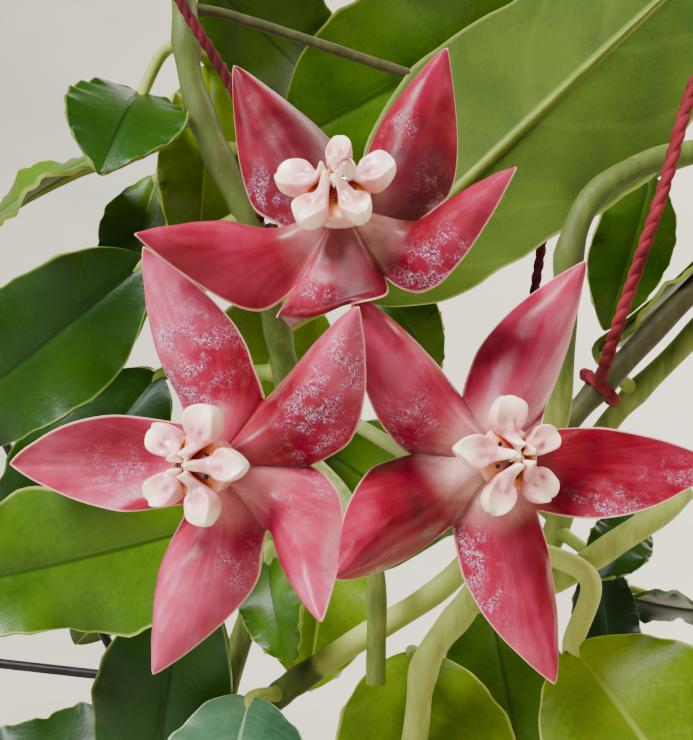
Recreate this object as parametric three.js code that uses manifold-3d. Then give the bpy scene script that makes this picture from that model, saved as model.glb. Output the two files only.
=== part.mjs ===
// A climbing hoya in a plain pot: vines tied to a wire fan trellis, thick waved leaves,
// and one umbel of three large star flowers. Millimetres, +Z up, the viewer looks along +Y.
// The origin is the centre of the pot's flat underside.

import * as THREE from 'three';
import { mergeGeometries, mergeVertices } from 'three/addons/utils/BufferGeometryUtils.js';
import Module from 'manifold-3d';

const wasm = await Module();
wasm.setup();

// Driving dimensions
const seatGap = 0.3;

const pot = {
  rimRadius: 82,
  footRadius: 60,
  height: 142,
  wall: 6,
  floor: 9,
  lipHeight: 24,
  lipOut: 5,
  lipTaper: 3,
  edge: 2,
  sides: 40,
};
const soil = { top: 128, relief: 2.2, sideGap: 1, rings: 4, sides: 24 };

const vineRadius = 3;
const vineSides = 6;
const swelling = { radius: 4, stretch: 1.3 };
const petioleRadius = 1.8;
const petioleSides = 5;
const leafThickness = 1.1;

const flower = { petalReach: 43.5, notchReach: 17.5, thickness: 1.3, alongCells: 7, acrossCells: 4 };
const petalCount = 5;
const halfPetalTurn = 180 / petalCount;
const corona = {
  lobeRoot: 0.8,
  lobeReach: 11,
  lobeHalfWidth: 3.9,
  lobeHeight: 5.4,
  lobeSink: 1.2,
  rootSwell: 0.45,
  tipSwell: 1.2,
  lift: 1.2,
  hubRadius: 3.2,
  hubFootRadius: 5.44,
  hubHeight: 6,
};
const umbel = {
  peduncleRadius: 2.7,
  pedicelRadius: 1.7,
  pedicelSides: 5,
  calyxRadius: 4.6,
  calyxDepth: 3,
};

const wire = { radius: 1.25, sides: 8, planeY: 17, buried: 70 };
const twine = { sides: 5, steps: 10, knotSides: 4, knotSteps: 8 };

// The reference picture: its middle, its scale at the flowers, and how far off the viewer stands.
const picture = { middleColumn: 346.5, middleRow: 370, mmPerPixel: 0.19 };
const viewDistance = 260;
const viewHeight = 335;
const flowerPlaneY = -75;

// A point seen at a column and row of the picture, at a depth behind the flowers.
function seen(column, row, depth) {
  const scale = picture.mmPerPixel * (viewDistance + depth) / viewDistance;
  return new THREE.Vector3(
    (column - picture.middleColumn) * scale,
    flowerPlaneY + depth,
    viewHeight - (row - picture.middleRow) * scale,
  );
}

const at = (x, y, z) => new THREE.Vector3(x, y, z);
const radians = THREE.MathUtils.degToRad;
const smooth = THREE.MathUtils.smoothstep;

// Solids

function welded(geometry) {
  const plain = geometry.clone();
  plain.deleteAttribute('normal');
  plain.deleteAttribute('uv');
  return mergeVertices(plain, 1e-3);
}

function solidOf(geometry) {
  const shape = welded(geometry);
  return new wasm.Manifold(new wasm.Mesh({
    numProp: 3,
    vertProperties: Float32Array.from(shape.attributes.position.array),
    triVerts: Uint32Array.from(shape.index.array),
  }));
}

function geometryOf(solid) {
  const mesh = solid.getMesh();
  const geometry = new THREE.BufferGeometry();
  geometry.setAttribute('position', new THREE.BufferAttribute(Float32Array.from(mesh.vertProperties), 3));
  geometry.setIndex(new THREE.BufferAttribute(Uint32Array.from(mesh.triVerts), 1));
  geometry.computeVertexNormals();
  return geometry;
}

function largestBody(solid) {
  const bodies = solid.decompose();
  return bodies.reduce((best, body) => (body.volume() > best.volume() ? body : best));
}

function joined(solids) {
  return solids.reduce((whole, solid) => whole.add(solid));
}

function without(solid, cutters) {
  return largestBody(cutters.reduce((rest, cutter) => rest.subtract(cutter), solid));
}

// A round tube along points, as a closed solid.
function tube(points, radius, steps, sides) {
  const corners = [];
  for (let side = 0; side < sides; side += 1) {
    const angle = side / sides * 2 * Math.PI;
    corners.push(new THREE.Vector2(Math.cos(angle) * radius, Math.sin(angle) * radius));
  }
  const extrudePath = new THREE.CatmullRomCurve3(points);
  return new THREE.ExtrudeGeometry(new THREE.Shape(corners), { steps, extrudePath, bevelEnabled: false });
}

// A bead that swells a stem at a node.
function bead(centre, radius, stretch) {
  const shape = new THREE.SphereGeometry(radius, 6, 4);
  shape.scale(1, 1, stretch);
  shape.translate(centre.x, centre.y, centre.z);
  return solidOf(shape);
}

// An open surface, moved point by point: across runs from -1 to 1, and along from 0 to 1.
function surface(alongCells, acrossCells, place) {
  const sheet = new THREE.PlaneGeometry(2, 1, acrossCells, alongCells);
  const points = sheet.attributes.position;
  for (let index = 0; index < points.count; index += 1) {
    const placed = place(points.getY(index) + 0.5, points.getX(index));
    points.setXYZ(index, placed.x, placed.y, placed.z);
  }
  return sheet;
}

// Gives an open surface a thickness, with both faces split into triangles alike and a rim between them.
function thicken(sheet, thickness) {
  const open = welded(sheet);
  const corners = open.index.array;
  const kept = [];
  for (let first = 0; first < corners.length; first += 3) {
    const [a, b, c] = corners.subarray(first, first + 3);
    if (a !== b && b !== c && c !== a) {
      kept.push([a, b, c]);
    }
  }
  open.setIndex(kept.flat());
  open.computeVertexNormals();
  const middle = open.attributes.position;
  const normals = open.attributes.normal;
  const count = middle.count;
  const positions = new Float32Array(count * 6);
  for (let index = 0; index < count; index += 1) {
    for (const [axis, letter] of ['getX', 'getY', 'getZ'].entries()) {
      const offset = normals[letter](index) * thickness / 2;
      positions[index * 3 + axis] = middle[letter](index) + offset;
      positions[(count + index) * 3 + axis] = middle[letter](index) - offset;
    }
  }
  const directed = new Set(kept.flatMap(([a, b, c]) => [`${a}_${b}`, `${b}_${c}`, `${c}_${a}`]));
  const triangles = [];
  for (const [a, b, c] of kept) {
    triangles.push([a, b, c], [a + count, c + count, b + count]);
    for (const [from, to] of [[a, b], [b, c], [c, a]]) {
      if (!directed.has(`${to}_${from}`)) {
        triangles.push([from, from + count, to + count], [from, to + count, to]);
      }
    }
  }
  const closed = new THREE.BufferGeometry();
  closed.setAttribute('position', new THREE.BufferAttribute(positions, 3));
  closed.setIndex(triangles.flat());
  return solidOf(closed);
}

// Materials

const materials = {
  pot: { color: '#b9785a', roughness: 0.85 },
  soil: { color: '#3b2a1e', roughness: 1 },
  vine: { color: '#8f9a68', roughness: 0.55 },
  leaf: { color: '#5a7a1c', roughness: 0.4 },
  glaucousLeaf: { color: '#6f9080', roughness: 0.5 },
  corolla: { color: '#b23a50', roughness: 0.28 },
  corona: { color: '#f3e2d3', roughness: 0.3 },
  wire: { color: '#17120f', roughness: 0.45 },
  twine: { color: '#8e2430', roughness: 0.8 },
};

const plant = new THREE.Group();

function addNode(name, geometry, look) {
  const material = new THREE.MeshStandardMaterial({ metalness: 0, ...materials[look] });
  const mesh = new THREE.Mesh(geometry, material);
  mesh.name = name;
  plant.add(mesh);
}

// Pot and potting mix

const rimBore = pot.rimRadius - pot.wall;
const floorBore = pot.footRadius - pot.wall;
const lipFoot = pot.height - pot.lipHeight;

function potGeometry() {
  const profile = [
    [0, 0],
    [pot.footRadius - pot.edge, 0],
    [pot.footRadius, pot.edge],
    [pot.rimRadius - pot.lipOut, lipFoot],
    [pot.rimRadius, lipFoot + pot.edge],
    [pot.rimRadius + pot.edge / 2, pot.height - pot.edge],
    [pot.rimRadius - pot.edge / 2, pot.height],
    [rimBore + pot.edge / 2, pot.height],
    [rimBore, pot.height - pot.edge],
    [rimBore - pot.lipTaper, lipFoot],
    [floorBore, pot.floor],
    [0, pot.floor],
  ];
  const lathe = new THREE.LatheGeometry(profile.map(([r, z]) => new THREE.Vector2(r, z)), pot.sides);
  return welded(lathe.rotateX(Math.PI / 2));
}

// The inner radius of the pot's wall at a height.
function potBore(height) {
  if (height > lipFoot) {
    return rimBore - pot.lipTaper * (pot.height - pot.edge - height) / (pot.lipHeight - pot.edge);
  }
  return floorBore + (rimBore - pot.lipTaper - floorBore) * (height - pot.floor) / (lipFoot - pot.floor);
}

// Two crossed ripples, of about 20 mm and 40 mm, for the lumps of the mix.
function soilLumps(x, y) {
  return Math.sin(x * 0.31 + 1) * Math.cos(y * 0.27) + 0.6 * Math.sin(x * 0.13 - y * 0.19);
}

function soilGeometry(cutters) {
  const bottom = pot.floor + seatGap;
  const profile = [[0, bottom]];
  for (const height of [bottom, lipFoot, soil.top]) {
    profile.push([potBore(height) - soil.sideGap, height]);
  }
  for (let ring = soil.rings - 1; ring > 0; ring -= 1) {
    profile.push([(potBore(soil.top) - soil.sideGap) * ring / soil.rings, soil.top]);
  }
  profile.push([0, soil.top]);
  const lathe = new THREE.LatheGeometry(profile.map(([r, z]) => new THREE.Vector2(r, z)), soil.sides);
  const mix = welded(lathe.rotateX(Math.PI / 2));
  const points = mix.attributes.position;
  for (let index = 0; index < points.count; index += 1) {
    const x = points.getX(index);
    const y = points.getY(index);
    if (points.getZ(index) > soil.top - soil.relief) {
      points.setZ(index, soil.top + soil.relief * soilLumps(x, y));
    }
  }
  return geometryOf(without(solidOf(mix), cutters));
}

// Vines: each rises from the mix, and every route is a list of points on its axis.

const vineRoutes = {
  left: [
    at(-34, 4, 96), at(-36, 6, 150), seen(225, 700, 88), seen(268, 560, 90), seen(290, 430, 86),
    seen(276, 320, 72), seen(255, 235, 62), seen(215, 150, 60), seen(191, 80, 60), seen(184, 0, 62),
    seen(180, -90, 66), seen(205, -150, 74),
  ],
  centre: [
    at(16, -22, 96), at(15, -20, 160), seen(407, 780, 62), seen(416, 730, 60), seen(427, 660, 58),
    seen(470, 600, 58), seen(520, 515, 62), seen(556, 420, 64), seen(564, 330, 62), seen(570, 250, 60),
    seen(592, 198, 60), seen(640, 166, 62), seen(693, 152, 64), seen(765, 150, 68),
  ],
  right: [
    at(-14, -4, 96), at(-15, -2, 170), seen(242, 760, 80), seen(266, 708, 78), seen(330, 660, 75),
    seen(450, 580, 74), seen(520, 490, 82), seen(560, 432, 84), seen(640, 345, 84), seen(693, 290, 84),
    seen(790, 200, 90), seen(810, 120, 96),
  ],
  back: [
    at(34, 34, 96), at(36, 36, 170), seen(520, 640, 122), seen(560, 520, 116), seen(605, 428, 110),
    seen(693, 334, 110), seen(750, 255, 114), seen(720, 120, 120), seen(640, 20, 124),
  ],
};
const vineSteps = { left: 30, centre: 36, right: 30, back: 24 };

const branchRoutes = {
  left: {
    spur: {
      points: [seen(289, 440, 86), seen(345, 500, 70), seen(373, 560, 61), seen(376, 684, 60)],
      radius: 2.3,
    },
    tendril: {
      points: [seen(184, 10, 62), seen(215, 12, 66), seen(257, 24, 68), seen(420, 78, 72)],
      radius: 1.3,
    },
  },
  centre: {
    side: {
      points: [seen(470, 600, 58), seen(550, 583, 50), seen(620, 540, 48), seen(664, 510, 50)],
      radius: 2.9,
    },
  },
};

const branchSteps = 7;

// Swollen nodes at these shares of a vine's length.
const vineNodes = { left: [0.34, 0.8], centre: [0.5, 0.8], right: [0.38, 0.72], back: [0.5] };

function vineSolid(name, extra) {
  const path = new THREE.CatmullRomCurve3(vineRoutes[name]);
  const pieces = [solidOf(tube(vineRoutes[name], vineRadius + extra, vineSteps[name], vineSides))];
  for (const share of vineNodes[name]) {
    pieces.push(bead(path.getPointAt(share), swelling.radius + extra, swelling.stretch));
  }
  for (const branch of Object.values(branchRoutes[name] ?? {})) {
    pieces.push(solidOf(tube(branch.points, branch.radius + extra, branchSteps, vineSides)));
  }
  return joined(pieces);
}

const vines = {};
const vineCutters = {};
for (const name of Object.keys(vineRoutes)) {
  vines[name] = vineSolid(name, 0);
  vineCutters[name] = vineSolid(name, seatGap);
}

// Flowers: angles in degrees. Yaw turns the face to the viewer's right, pitch tips it up, and roll
// turns the star in its own plane. The disc falls away from a raised middle by the dome angle. Each
// petal has a lift beyond the disc, a curl reached at its curl end (mm from the middle), a ridge (or,
// below 0, a trough) down its middle, and a twist that raises one margin.

const flowers = {
  top: {
    centre: seen(345, 206, 4),
    yaw: -12,
    pitch: 38,
    roll: 59,
    dome: 26,
    petals: [
      { lift: 38, curl: 4, curlEnd: 43, ridge: -0.3, twist: 0.2 },
      { lift: 40, curl: 6, curlEnd: 43, ridge: -0.2, twist: -0.15 },
      { lift: 28, curl: 6, curlEnd: 43, ridge: 0.1, twist: -0.55 },
      { lift: 12, curl: -150, curlEnd: 27, ridge: 0, twist: 0 },
      { lift: 44, curl: 8, curlEnd: 43, ridge: -0.3, twist: 0.7 },
    ],
  },
  left: {
    centre: seen(213, 461, 2),
    yaw: -30,
    pitch: -2,
    roll: 37,
    dome: 8,
    petals: [
      { lift: 8, curl: -4, curlEnd: 43, ridge: 0.2, twist: 0 },
      { lift: 7, curl: -2, curlEnd: 43, ridge: 0.15, twist: 0 },
      { lift: 27, curl: 0, curlEnd: 43, ridge: 0.15, twist: 0 },
      { lift: 12, curl: -2, curlEnd: 43, ridge: 0.25, twist: 0 },
      { lift: 34, curl: -8, curlEnd: 43, ridge: 0.7, twist: 0 },
    ],
  },
  right: {
    centre: seen(500, 458, 6),
    yaw: 16,
    pitch: 8,
    roll: 66,
    dome: 8,
    petals: [
      { lift: 17, curl: -2, curlEnd: 43, ridge: 0.3, twist: 0 },
      { lift: 18, curl: 2, curlEnd: 43, ridge: 0.1, twist: 0 },
      { lift: 18, curl: 2, curlEnd: 43, ridge: 0.3, twist: 0 },
      { lift: 5, curl: -4, curlEnd: 43, ridge: 0.3, twist: 0 },
      { lift: 28, curl: 0, curlEnd: 43, ridge: 0.3, twist: 0 },
    ],
  },
};

function flowerFrame({ yaw, pitch }) {
  const turn = radians(yaw);
  const tip = radians(pitch);
  const face = at(Math.sin(turn) * Math.cos(tip), -Math.cos(turn) * Math.cos(tip), Math.sin(tip));
  const right = at(Math.cos(turn), Math.sin(turn), 0);
  const up = new THREE.Vector3().crossVectors(face, right);
  return { face, right, up };
}

const notchShare = flower.notchReach / flower.petalReach;
const notchHalf = flower.notchReach * Math.sin(radians(halfPetalTurn));
const notchDrop = flower.notchReach * (1 - Math.cos(radians(halfPetalTurn)));
const tipPower = 2.4;

// Half the width of a petal: a wedge of the disc up to the notch, then drawn to a point.
function petalHalfWidth(share) {
  if (share <= notchShare) {
    return notchHalf * share / notchShare;
  }
  const outer = (share - notchShare) / (1 - notchShare);
  return notchHalf * (1 - outer ** tipPower);
}

// How a petal bends along its length: where the disc turns into the lobe, where the curl starts, and
// how far from the notch line neighbouring petals still share their bend.
const bending = {
  lobeStart: flower.notchReach * 0.65,
  lobeFull: flower.notchReach * 1.2,
  curlStart: flower.notchReach * 0.7,
  sharedTurn: 14,
  ridgePower: 1.7,
  twistFull: 0.45,
  steps: 8,
};

// The place of a point of the corolla, from its petal, its share of the reach and its place across.
function corollaPoint(bloom, petal, share, across) {
  const half = petalHalfWidth(share);
  const outer = Math.max(0, (share - notchShare) / (1 - notchShare));
  const drop = notchDrop * Math.min(1, share / notchShare) * (1 - outer) ** 2;
  const along = flower.petalReach * share - drop * across * across;
  const aside = half * across;
  const radius = Math.hypot(along, aside);
  const offset = Math.atan2(aside, along);
  const own = bloom.petals[petal];
  const next = bloom.petals[(petal + (aside > 0 ? 1 : petalCount - 1)) % petalCount];
  const blend = smooth(
    Math.abs(offset),
    radians(halfPetalTurn - bending.sharedTurn),
    radians(halfPetalTurn + bending.sharedTurn),
  );
  const mixed = (key) => own[key] * (1 - blend) + next[key] * blend;
  const stride = radius / bending.steps;
  let out = 0;
  let high = 0;
  for (let step = 0; step < bending.steps; step += 1) {
    const passed = (step + 0.5) * stride;
    const lobe = smooth(passed, bending.lobeStart, bending.lobeFull);
    const bend = mixed('lift') * lobe - bloom.dome * (1 - lobe)
      + mixed('curl') * smooth(passed, bending.curlStart, mixed('curlEnd'));
    out += Math.cos(radians(bend)) * stride;
    high += Math.sin(radians(bend)) * stride;
  }
  high -= mixed('ridge') * half * Math.abs(across) ** bending.ridgePower;
  high += own.twist * aside * smooth(outer, 0, bending.twistFull);
  const { face, right, up } = bloom.axes;
  const angle = radians(bloom.roll + 2 * halfPetalTurn * petal) + offset;
  return bloom.centre.clone()
    .addScaledVector(right, Math.cos(angle) * out)
    .addScaledVector(up, Math.sin(angle) * out)
    .addScaledVector(face, high);
}

const petalNumbers = Array.from({ length: petalCount }, (_, petal) => petal);

function corollaSurface(bloom) {
  const lobes = petalNumbers.map((petal) => surface(
    flower.alongCells,
    flower.acrossCells,
    (along, across) => corollaPoint(bloom, petal, along, across),
  ));
  return mergeGeometries(lobes);
}

// One plump corona lobe: an egg with a blunt raised outer end, lying on the corolla.
function coronaLobe(bloom, petal) {
  const egg = new THREE.SphereGeometry(1, 7, 5);
  const points = egg.attributes.position;
  const angle = radians(bloom.roll + halfPetalTurn * (2 * petal + 1));
  const { face, right, up } = bloom.axes;
  const outward = right.clone().multiplyScalar(Math.cos(angle)).addScaledVector(up, Math.sin(angle));
  const sideways = right.clone().multiplyScalar(-Math.sin(angle)).addScaledVector(up, Math.cos(angle));
  for (let index = 0; index < points.count; index += 1) {
    const along = (points.getY(index) + 1) / 2;
    const swell = THREE.MathUtils.lerp(corona.rootSwell, corona.tipSwell, smooth(along, 0.1, 0.8));
    const middle = corona.lobeHeight - corona.lobeSink + corona.lift * along;
    const placed = bloom.centre.clone()
      .addScaledVector(outward, THREE.MathUtils.lerp(corona.lobeRoot, corona.lobeReach, along))
      .addScaledVector(sideways, -points.getX(index) * corona.lobeHalfWidth * swell)
      .addScaledVector(face, middle + points.getZ(index) * corona.lobeHeight / 2 * swell);
    points.setXYZ(index, placed.x, placed.y, placed.z);
  }
  return solidOf(egg);
}

function coronaSolid(bloom) {
  const hub = new THREE.CylinderGeometry(corona.hubRadius, corona.hubFootRadius, corona.hubHeight, 8);
  hub.translate(0, corona.hubHeight / 2, 0);
  const turn = new THREE.Quaternion().setFromUnitVectors(at(0, 1, 0), bloom.axes.face);
  hub.applyQuaternion(turn);
  hub.translate(bloom.centre.x, bloom.centre.y, bloom.centre.z);
  return joined([solidOf(hub), ...petalNumbers.map((petal) => coronaLobe(bloom, petal))]);
}

// The stalk of the umbel: one peduncle from the left vine, and a pedicel with a calyx behind each flower.
const peduncleRoute = [seen(289, 432, 86), seen(312, 432, 78), seen(340, 415, 66)];
const stalkSteps = 5;
const pedicelReach = 26;

function umbelStalk(blooms) {
  const fork = peduncleRoute.at(-1);
  const pieces = [
    solidOf(tube(peduncleRoute, umbel.peduncleRadius, stalkSteps, vineSides)),
    bead(fork, umbel.peduncleRadius + 1, 1),
  ];
  for (const bloom of blooms) {
    const leave = bloom.centre.clone().addScaledVector(bloom.axes.face, -pedicelReach);
    const route = [fork, leave, bloom.centre];
    pieces.push(solidOf(tube(route, umbel.pedicelRadius, stalkSteps, umbel.pedicelSides)));
    const calyx = new THREE.CylinderGeometry(umbel.calyxRadius, umbel.pedicelRadius, umbel.calyxDepth, 8);
    calyx.translate(0, -umbel.calyxDepth / 2 - flower.thickness / 2, 0);
    calyx.applyQuaternion(new THREE.Quaternion().setFromUnitVectors(at(0, 1, 0), bloom.axes.face));
    calyx.translate(bloom.centre.x, bloom.centre.y, bloom.centre.z);
    pieces.push(solidOf(calyx));
  }
  return joined(pieces);
}

// Leaves: the vine that each grows on, a base and a tip, the roll of its face about the midrib, the
// widest width, and the arch and wave of the blade in mm. A face turned by 0 looks along the facing
// direction, which is the viewer's unless another is given, and 180 shows its underside there.

const leafPlaces = [
  // In the picture, from the top to the bottom
  {
    vine: 'left', base: seen(352, 290, 66), tip: seen(762, -92, 82),
    roll: 176, width: 56, arch: -6, wave: 2.2,
  },
  { vine: 'left', base: seen(290, 142, 98), tip: seen(570, -8, 114), roll: 8, width: 50, arch: 6 },
  { vine: 'left', base: seen(206, -20, 80), tip: seen(310, 80, 116), roll: 10, width: 34, arch: 8 },
  { vine: 'left', base: seen(194, 94, 86), tip: seen(180, 290, 84), roll: 4, width: 25, arch: 5 },
  {
    vine: 'left',
    base: seen(138, 100, 70),
    tip: seen(101, 162, 26),
    roll: -4,
    width: 28,
    arch: 4,
    wave: 1,
    via: [seen(163, 53, 66)],
  },
  { vine: 'left', base: seen(112, 152, 66), tip: seen(-60, 272, 72), roll: 70, width: 30, arch: 3 },
  {
    vine: 'left', base: seen(158, 176, 76), tip: seen(120, 335, 72),
    roll: 10, width: 20, arch: 3, wave: 1.4,
  },
  {
    vine: 'left', base: seen(146, 262, 60), tip: seen(-90, 452, 72),
    roll: -6, width: 34, arch: 5, wave: 1.6,
  },
  { vine: 'left', base: seen(160, 374, 88), tip: seen(-12, 600, 86), roll: 14, width: 34, arch: 4 },
  {
    vine: 'left', base: seen(222, 522, 52), tip: seen(-80, 592, 48),
    roll: -6, width: 34, arch: 4, wave: 2.8,
  },
  {
    vine: 'left', base: seen(188, 572, 72), tip: seen(152, 880, 84),
    roll: 6, width: 33, arch: 8, wave: 1.8,
  },
  { vine: 'left', base: seen(128, 734, 112), tip: seen(-60, 824, 114), roll: 52, width: 32, arch: 4 },
  {
    vine: 'right',
    base: seen(250, 698, 62),
    tip: seen(206, 950, 34),
    roll: 6,
    width: 36,
    arch: 8,
    wave: 2,
    look: 'glaucousLeaf',
  },
  {
    vine: 'left', base: seen(270, 560, 68), tip: seen(292, 664, 56),
    roll: 20, width: 17, arch: 3, wave: 1.2,
  },
  { vine: 'left', base: seen(306, 296, 94), tip: seen(226, 446, 104), width: 34, arch: 4, wave: 1.8 },
  { vine: 'left', base: seen(330, 540, 94), tip: seen(308, 690, 92), width: 26, arch: 3, wave: 1.6 },
  { vine: 'left', base: seen(322, 448, 98), tip: seen(446, 530, 98), width: 34, arch: 3, wave: 1.6 },
  {
    vine: 'left', base: seen(378, 286, 84), tip: seen(440, 370, 80),
    roll: 10, width: 19, arch: 2, wave: 0.8,
  },
  { vine: 'centre', base: seen(412, 652, 76), tip: seen(436, 930, 68), width: 46, arch: 8 },
  { vine: 'back', base: seen(488, 596, 98), tip: seen(536, 850, 98), width: 36, arch: 6, wave: 1.8 },
  {
    vine: 'centre',
    base: seen(572, 648, 40),
    tip: seen(730, 880, 28),
    roll: -10,
    width: 44,
    arch: 8,
    wave: 1.6,
    via: [seen(590, 580, 44)],
    petiole: 2.4,
  },
  {
    vine: 'back', base: seen(598, 562, 100), tip: seen(614, 690, 96),
    roll: 6, width: 17, arch: 3, wave: 1.2,
  },
  {
    vine: 'back', base: seen(618, 592, 112), tip: seen(800, 604, 106),
    roll: 68, width: 30, arch: 3, wave: 1.8,
  },
  { vine: 'back', base: seen(634, 676, 120), tip: seen(810, 690, 118), roll: 58, width: 38, arch: 4 },
  { vine: 'back', base: seen(650, 176, 122), tip: seen(604, 330, 128), width: 22, arch: 3, wave: 1.2 },
  {
    vine: 'back', base: seen(600, 352, 98), tip: seen(770, 170, 92),
    roll: 74, width: 30, arch: 3, wave: 1.6,
  },
  {
    vine: 'right', base: seen(640, 520, 70), tip: seen(592, 580, 62),
    roll: 20, width: 15, arch: 2, wave: 1,
  },
  { vine: 'back', base: seen(700, 80, 108), tip: seen(660, -120, 116), width: 34, arch: 3, wave: 1.8 },
  // Beside, above and below the picture
  {
    vine: 'centre', base: seen(790, 150, 62), tip: seen(1000, 90, 42),
    roll: 10, width: 40, arch: 6, wave: 2.2,
  },
  { vine: 'right', base: seen(815, 230, 100), tip: seen(1010, 380, 96), width: 46, arch: 6, wave: 2.2 },
  { vine: 'left', base: seen(180, -130, 66), tip: seen(-40, -240, 44), width: 42, arch: 6, wave: 2.2 },
  { vine: 'left', base: seen(225, -160, 84), tip: seen(420, -190, 92), width: 42, arch: 6, wave: 2.2 },
  {
    vine: 'centre', base: at(34, -42, 208), tip: at(104, -118, 168),
    width: 44, arch: 8, wave: 2.2, facing: at(0, -0.5, 1),
  },
  {
    vine: 'right', base: at(-34, -28, 200), tip: at(-112, -96, 160),
    width: 46, arch: 8, wave: 2.4, facing: at(0, -0.5, 1),
  },
  {
    vine: 'left', base: at(-58, 34, 190), tip: at(-150, 88, 172),
    width: 46, arch: 9, wave: 2.4, facing: at(-0.3, 0.3, 1),
  },
  {
    vine: 'back', base: at(54, 50, 200), tip: at(140, 100, 176),
    width: 46, arch: 9, wave: 2.4, facing: at(0.3, 0.4, 1),
  },
  {
    vine: 'left', base: at(-34, 44, 280), tip: at(-90, 120, 244),
    width: 44, arch: 8, wave: 2.2, facing: at(-0.3, 1, 0.6),
  },
  {
    vine: 'back', base: at(40, 66, 306), tip: at(-8, 130, 262),
    width: 44, arch: 8, wave: 2.2, facing: at(0, 1, 0.6),
  },
];

const leafCells = { along: 6, across: 4 };
const bladeShape = { skew: 0.86, fullness: 0.62, tipNarrowing: 0.35, tipPower: 6 };
const rippleShift = 1.9;

// Half the width of a blade, as a share of the widest, along its length.
function leafHalfWidth(share) {
  const oval = Math.sin(Math.PI * share ** bladeShape.skew) ** bladeShape.fullness;
  return oval * (1 - bladeShape.tipNarrowing * share ** bladeShape.tipPower);
}

function leafPoint(leaf, axes, along, across) {
  const { path, face } = axes;
  const spine = path.getPoint(along);
  const ahead = path.getTangent(along);
  const side = new THREE.Vector3().crossVectors(ahead, face).normalize();
  const normal = new THREE.Vector3().crossVectors(side, ahead).normalize();
  const breadth = leafHalfWidth(along);
  const half = breadth * leaf.width / 2;
  const ripple = Math.sin(along * leaf.waves + leaf.phase + (across > 0 ? 0 : rippleShift));
  const folded = leaf.fold * half * Math.abs(across);
  const waved = leaf.wave * ripple * across ** 2 * Math.sqrt(breadth);
  return spine.addScaledVector(side, half * across).addScaledVector(normal, folded + waved);
}

function leafAxes(leaf) {
  const ahead = leaf.tip.clone().sub(leaf.base).normalize();
  const side = new THREE.Vector3().crossVectors(ahead, leaf.facing).normalize();
  const face = new THREE.Vector3().crossVectors(side, ahead).applyAxisAngle(ahead, radians(leaf.roll));
  const bow = leaf.base.clone().lerp(leaf.tip, 0.5).addScaledVector(face, leaf.arch * 2);
  return { path: new THREE.QuadraticBezierCurve3(leaf.base, bow, leaf.tip), face };
}

const routeSamples = 200;
const leafClearance = 10;

function nearestOnVine(name, point) {
  const path = new THREE.CatmullRomCurve3(vineRoutes[name]);
  const lowest = soil.top + leafClearance;
  const samples = path.getSpacedPoints(routeSamples).filter((sample) => sample.z > lowest);
  const nearer = (best, sample) => (sample.distanceTo(point) < best.distanceTo(point) ? sample : best);
  return samples.reduce(nearer);
}

const usualLeaf = {
  roll: 0,
  wave: 2,
  fold: 0.12,
  waves: 13,
  petiole: petioleRadius,
  via: [],
  facing: at(0, -1, 0),
};
const petioleSunk = 0.14;

function leafSolid(place, index) {
  const leaf = { ...usualLeaf, phase: index * 1.7, ...place };
  const axes = leafAxes(leaf);
  const blade = thicken(
    surface(leafCells.along, leafCells.across, (along, across) => leafPoint(leaf, axes, along, across)),
    leafThickness,
  );
  const start = nearestOnVine(leaf.vine, leaf.via[0] ?? leaf.base);
  const route = [start, ...leaf.via, leaf.base, axes.path.getPoint(petioleSunk)];
  const stalk = solidOf(tube(route, leaf.petiole, 3 + 2 * leaf.via.length, petioleSides));
  return without(blade.add(stalk), [vineCutters[leaf.vine]]);
}

// Trellis: straight wires pushed into the mix and fanned out, with short rungs in front of the legs.

const outerLegY = wire.planeY;
const innerLegY = wire.planeY + 2 * wire.radius + seatGap;
const lastLegY = innerLegY + 2 * wire.radius + seatGap;
const rungY = wire.planeY - 2 * wire.radius - seatGap;
const wirePlaces = {
  trellis_leg_outer_left: [at(-66, outerLegY, soil.top), at(-135, outerLegY, 446)],
  trellis_leg_inner_left: [at(8, innerLegY, soil.top), at(-117, innerLegY, 372)],
  trellis_leg_inner_right: [at(-8, lastLegY, soil.top), at(80, lastLegY, 446)],
  trellis_leg_outer_right: [at(66, outerLegY, soil.top), at(135, outerLegY, 446)],
  trellis_rung_left: [at(-101, rungY, 261.5), at(-56, rungY, 256.5)],
  trellis_rung_top: [at(-138, rungY, 440), at(138, rungY, 440)],
};

function wireSolid(name, extra) {
  const [low, high] = wirePlaces[name];
  const ahead = high.clone().sub(low).normalize();
  const start = name.includes('leg') ? low.clone().addScaledVector(ahead, -wire.buried) : low;
  return solidOf(tube([start, high], wire.radius + extra, 1, wire.sides));
}

// Red garden twine: each length is tied round a wire at its top and round a vine at its foot.

const twinePlaces = {
  left: {
    radius: 1.35,
    vine: 'left',
    points: [
      at(-64, rungY, 440), seen(150, -62, 64), seen(180, 0, 54.5), seen(237, 97, 53), seen(266, 170, 54),
      seen(255, 235, 62),
    ],
  },
  middle: {
    radius: 1.2,
    vine: 'right',
    points: [
      at(58, rungY, 440), seen(549, 190, 92), seen(541, 250, 88), seen(535, 290, 88), seen(517, 492, 82),
    ],
  },
  right: {
    radius: 1.7,
    vine: 'right',
    points: [
      at(126, rungY, 440), seen(693, 60, 54), seen(650, 200, 53), seen(606, 360, 66), seen(594, 394, 84),
    ],
  },
};

function knot(centre, ahead, holeRadius, radius) {
  const ringRadius = holeRadius + radius + seatGap;
  const ring = new THREE.TorusGeometry(ringRadius, radius, twine.knotSides, twine.knotSteps);
  ring.applyQuaternion(new THREE.Quaternion().setFromUnitVectors(at(0, 0, 1), ahead));
  ring.translate(centre.x, centre.y, centre.z);
  return solidOf(ring);
}

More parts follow.
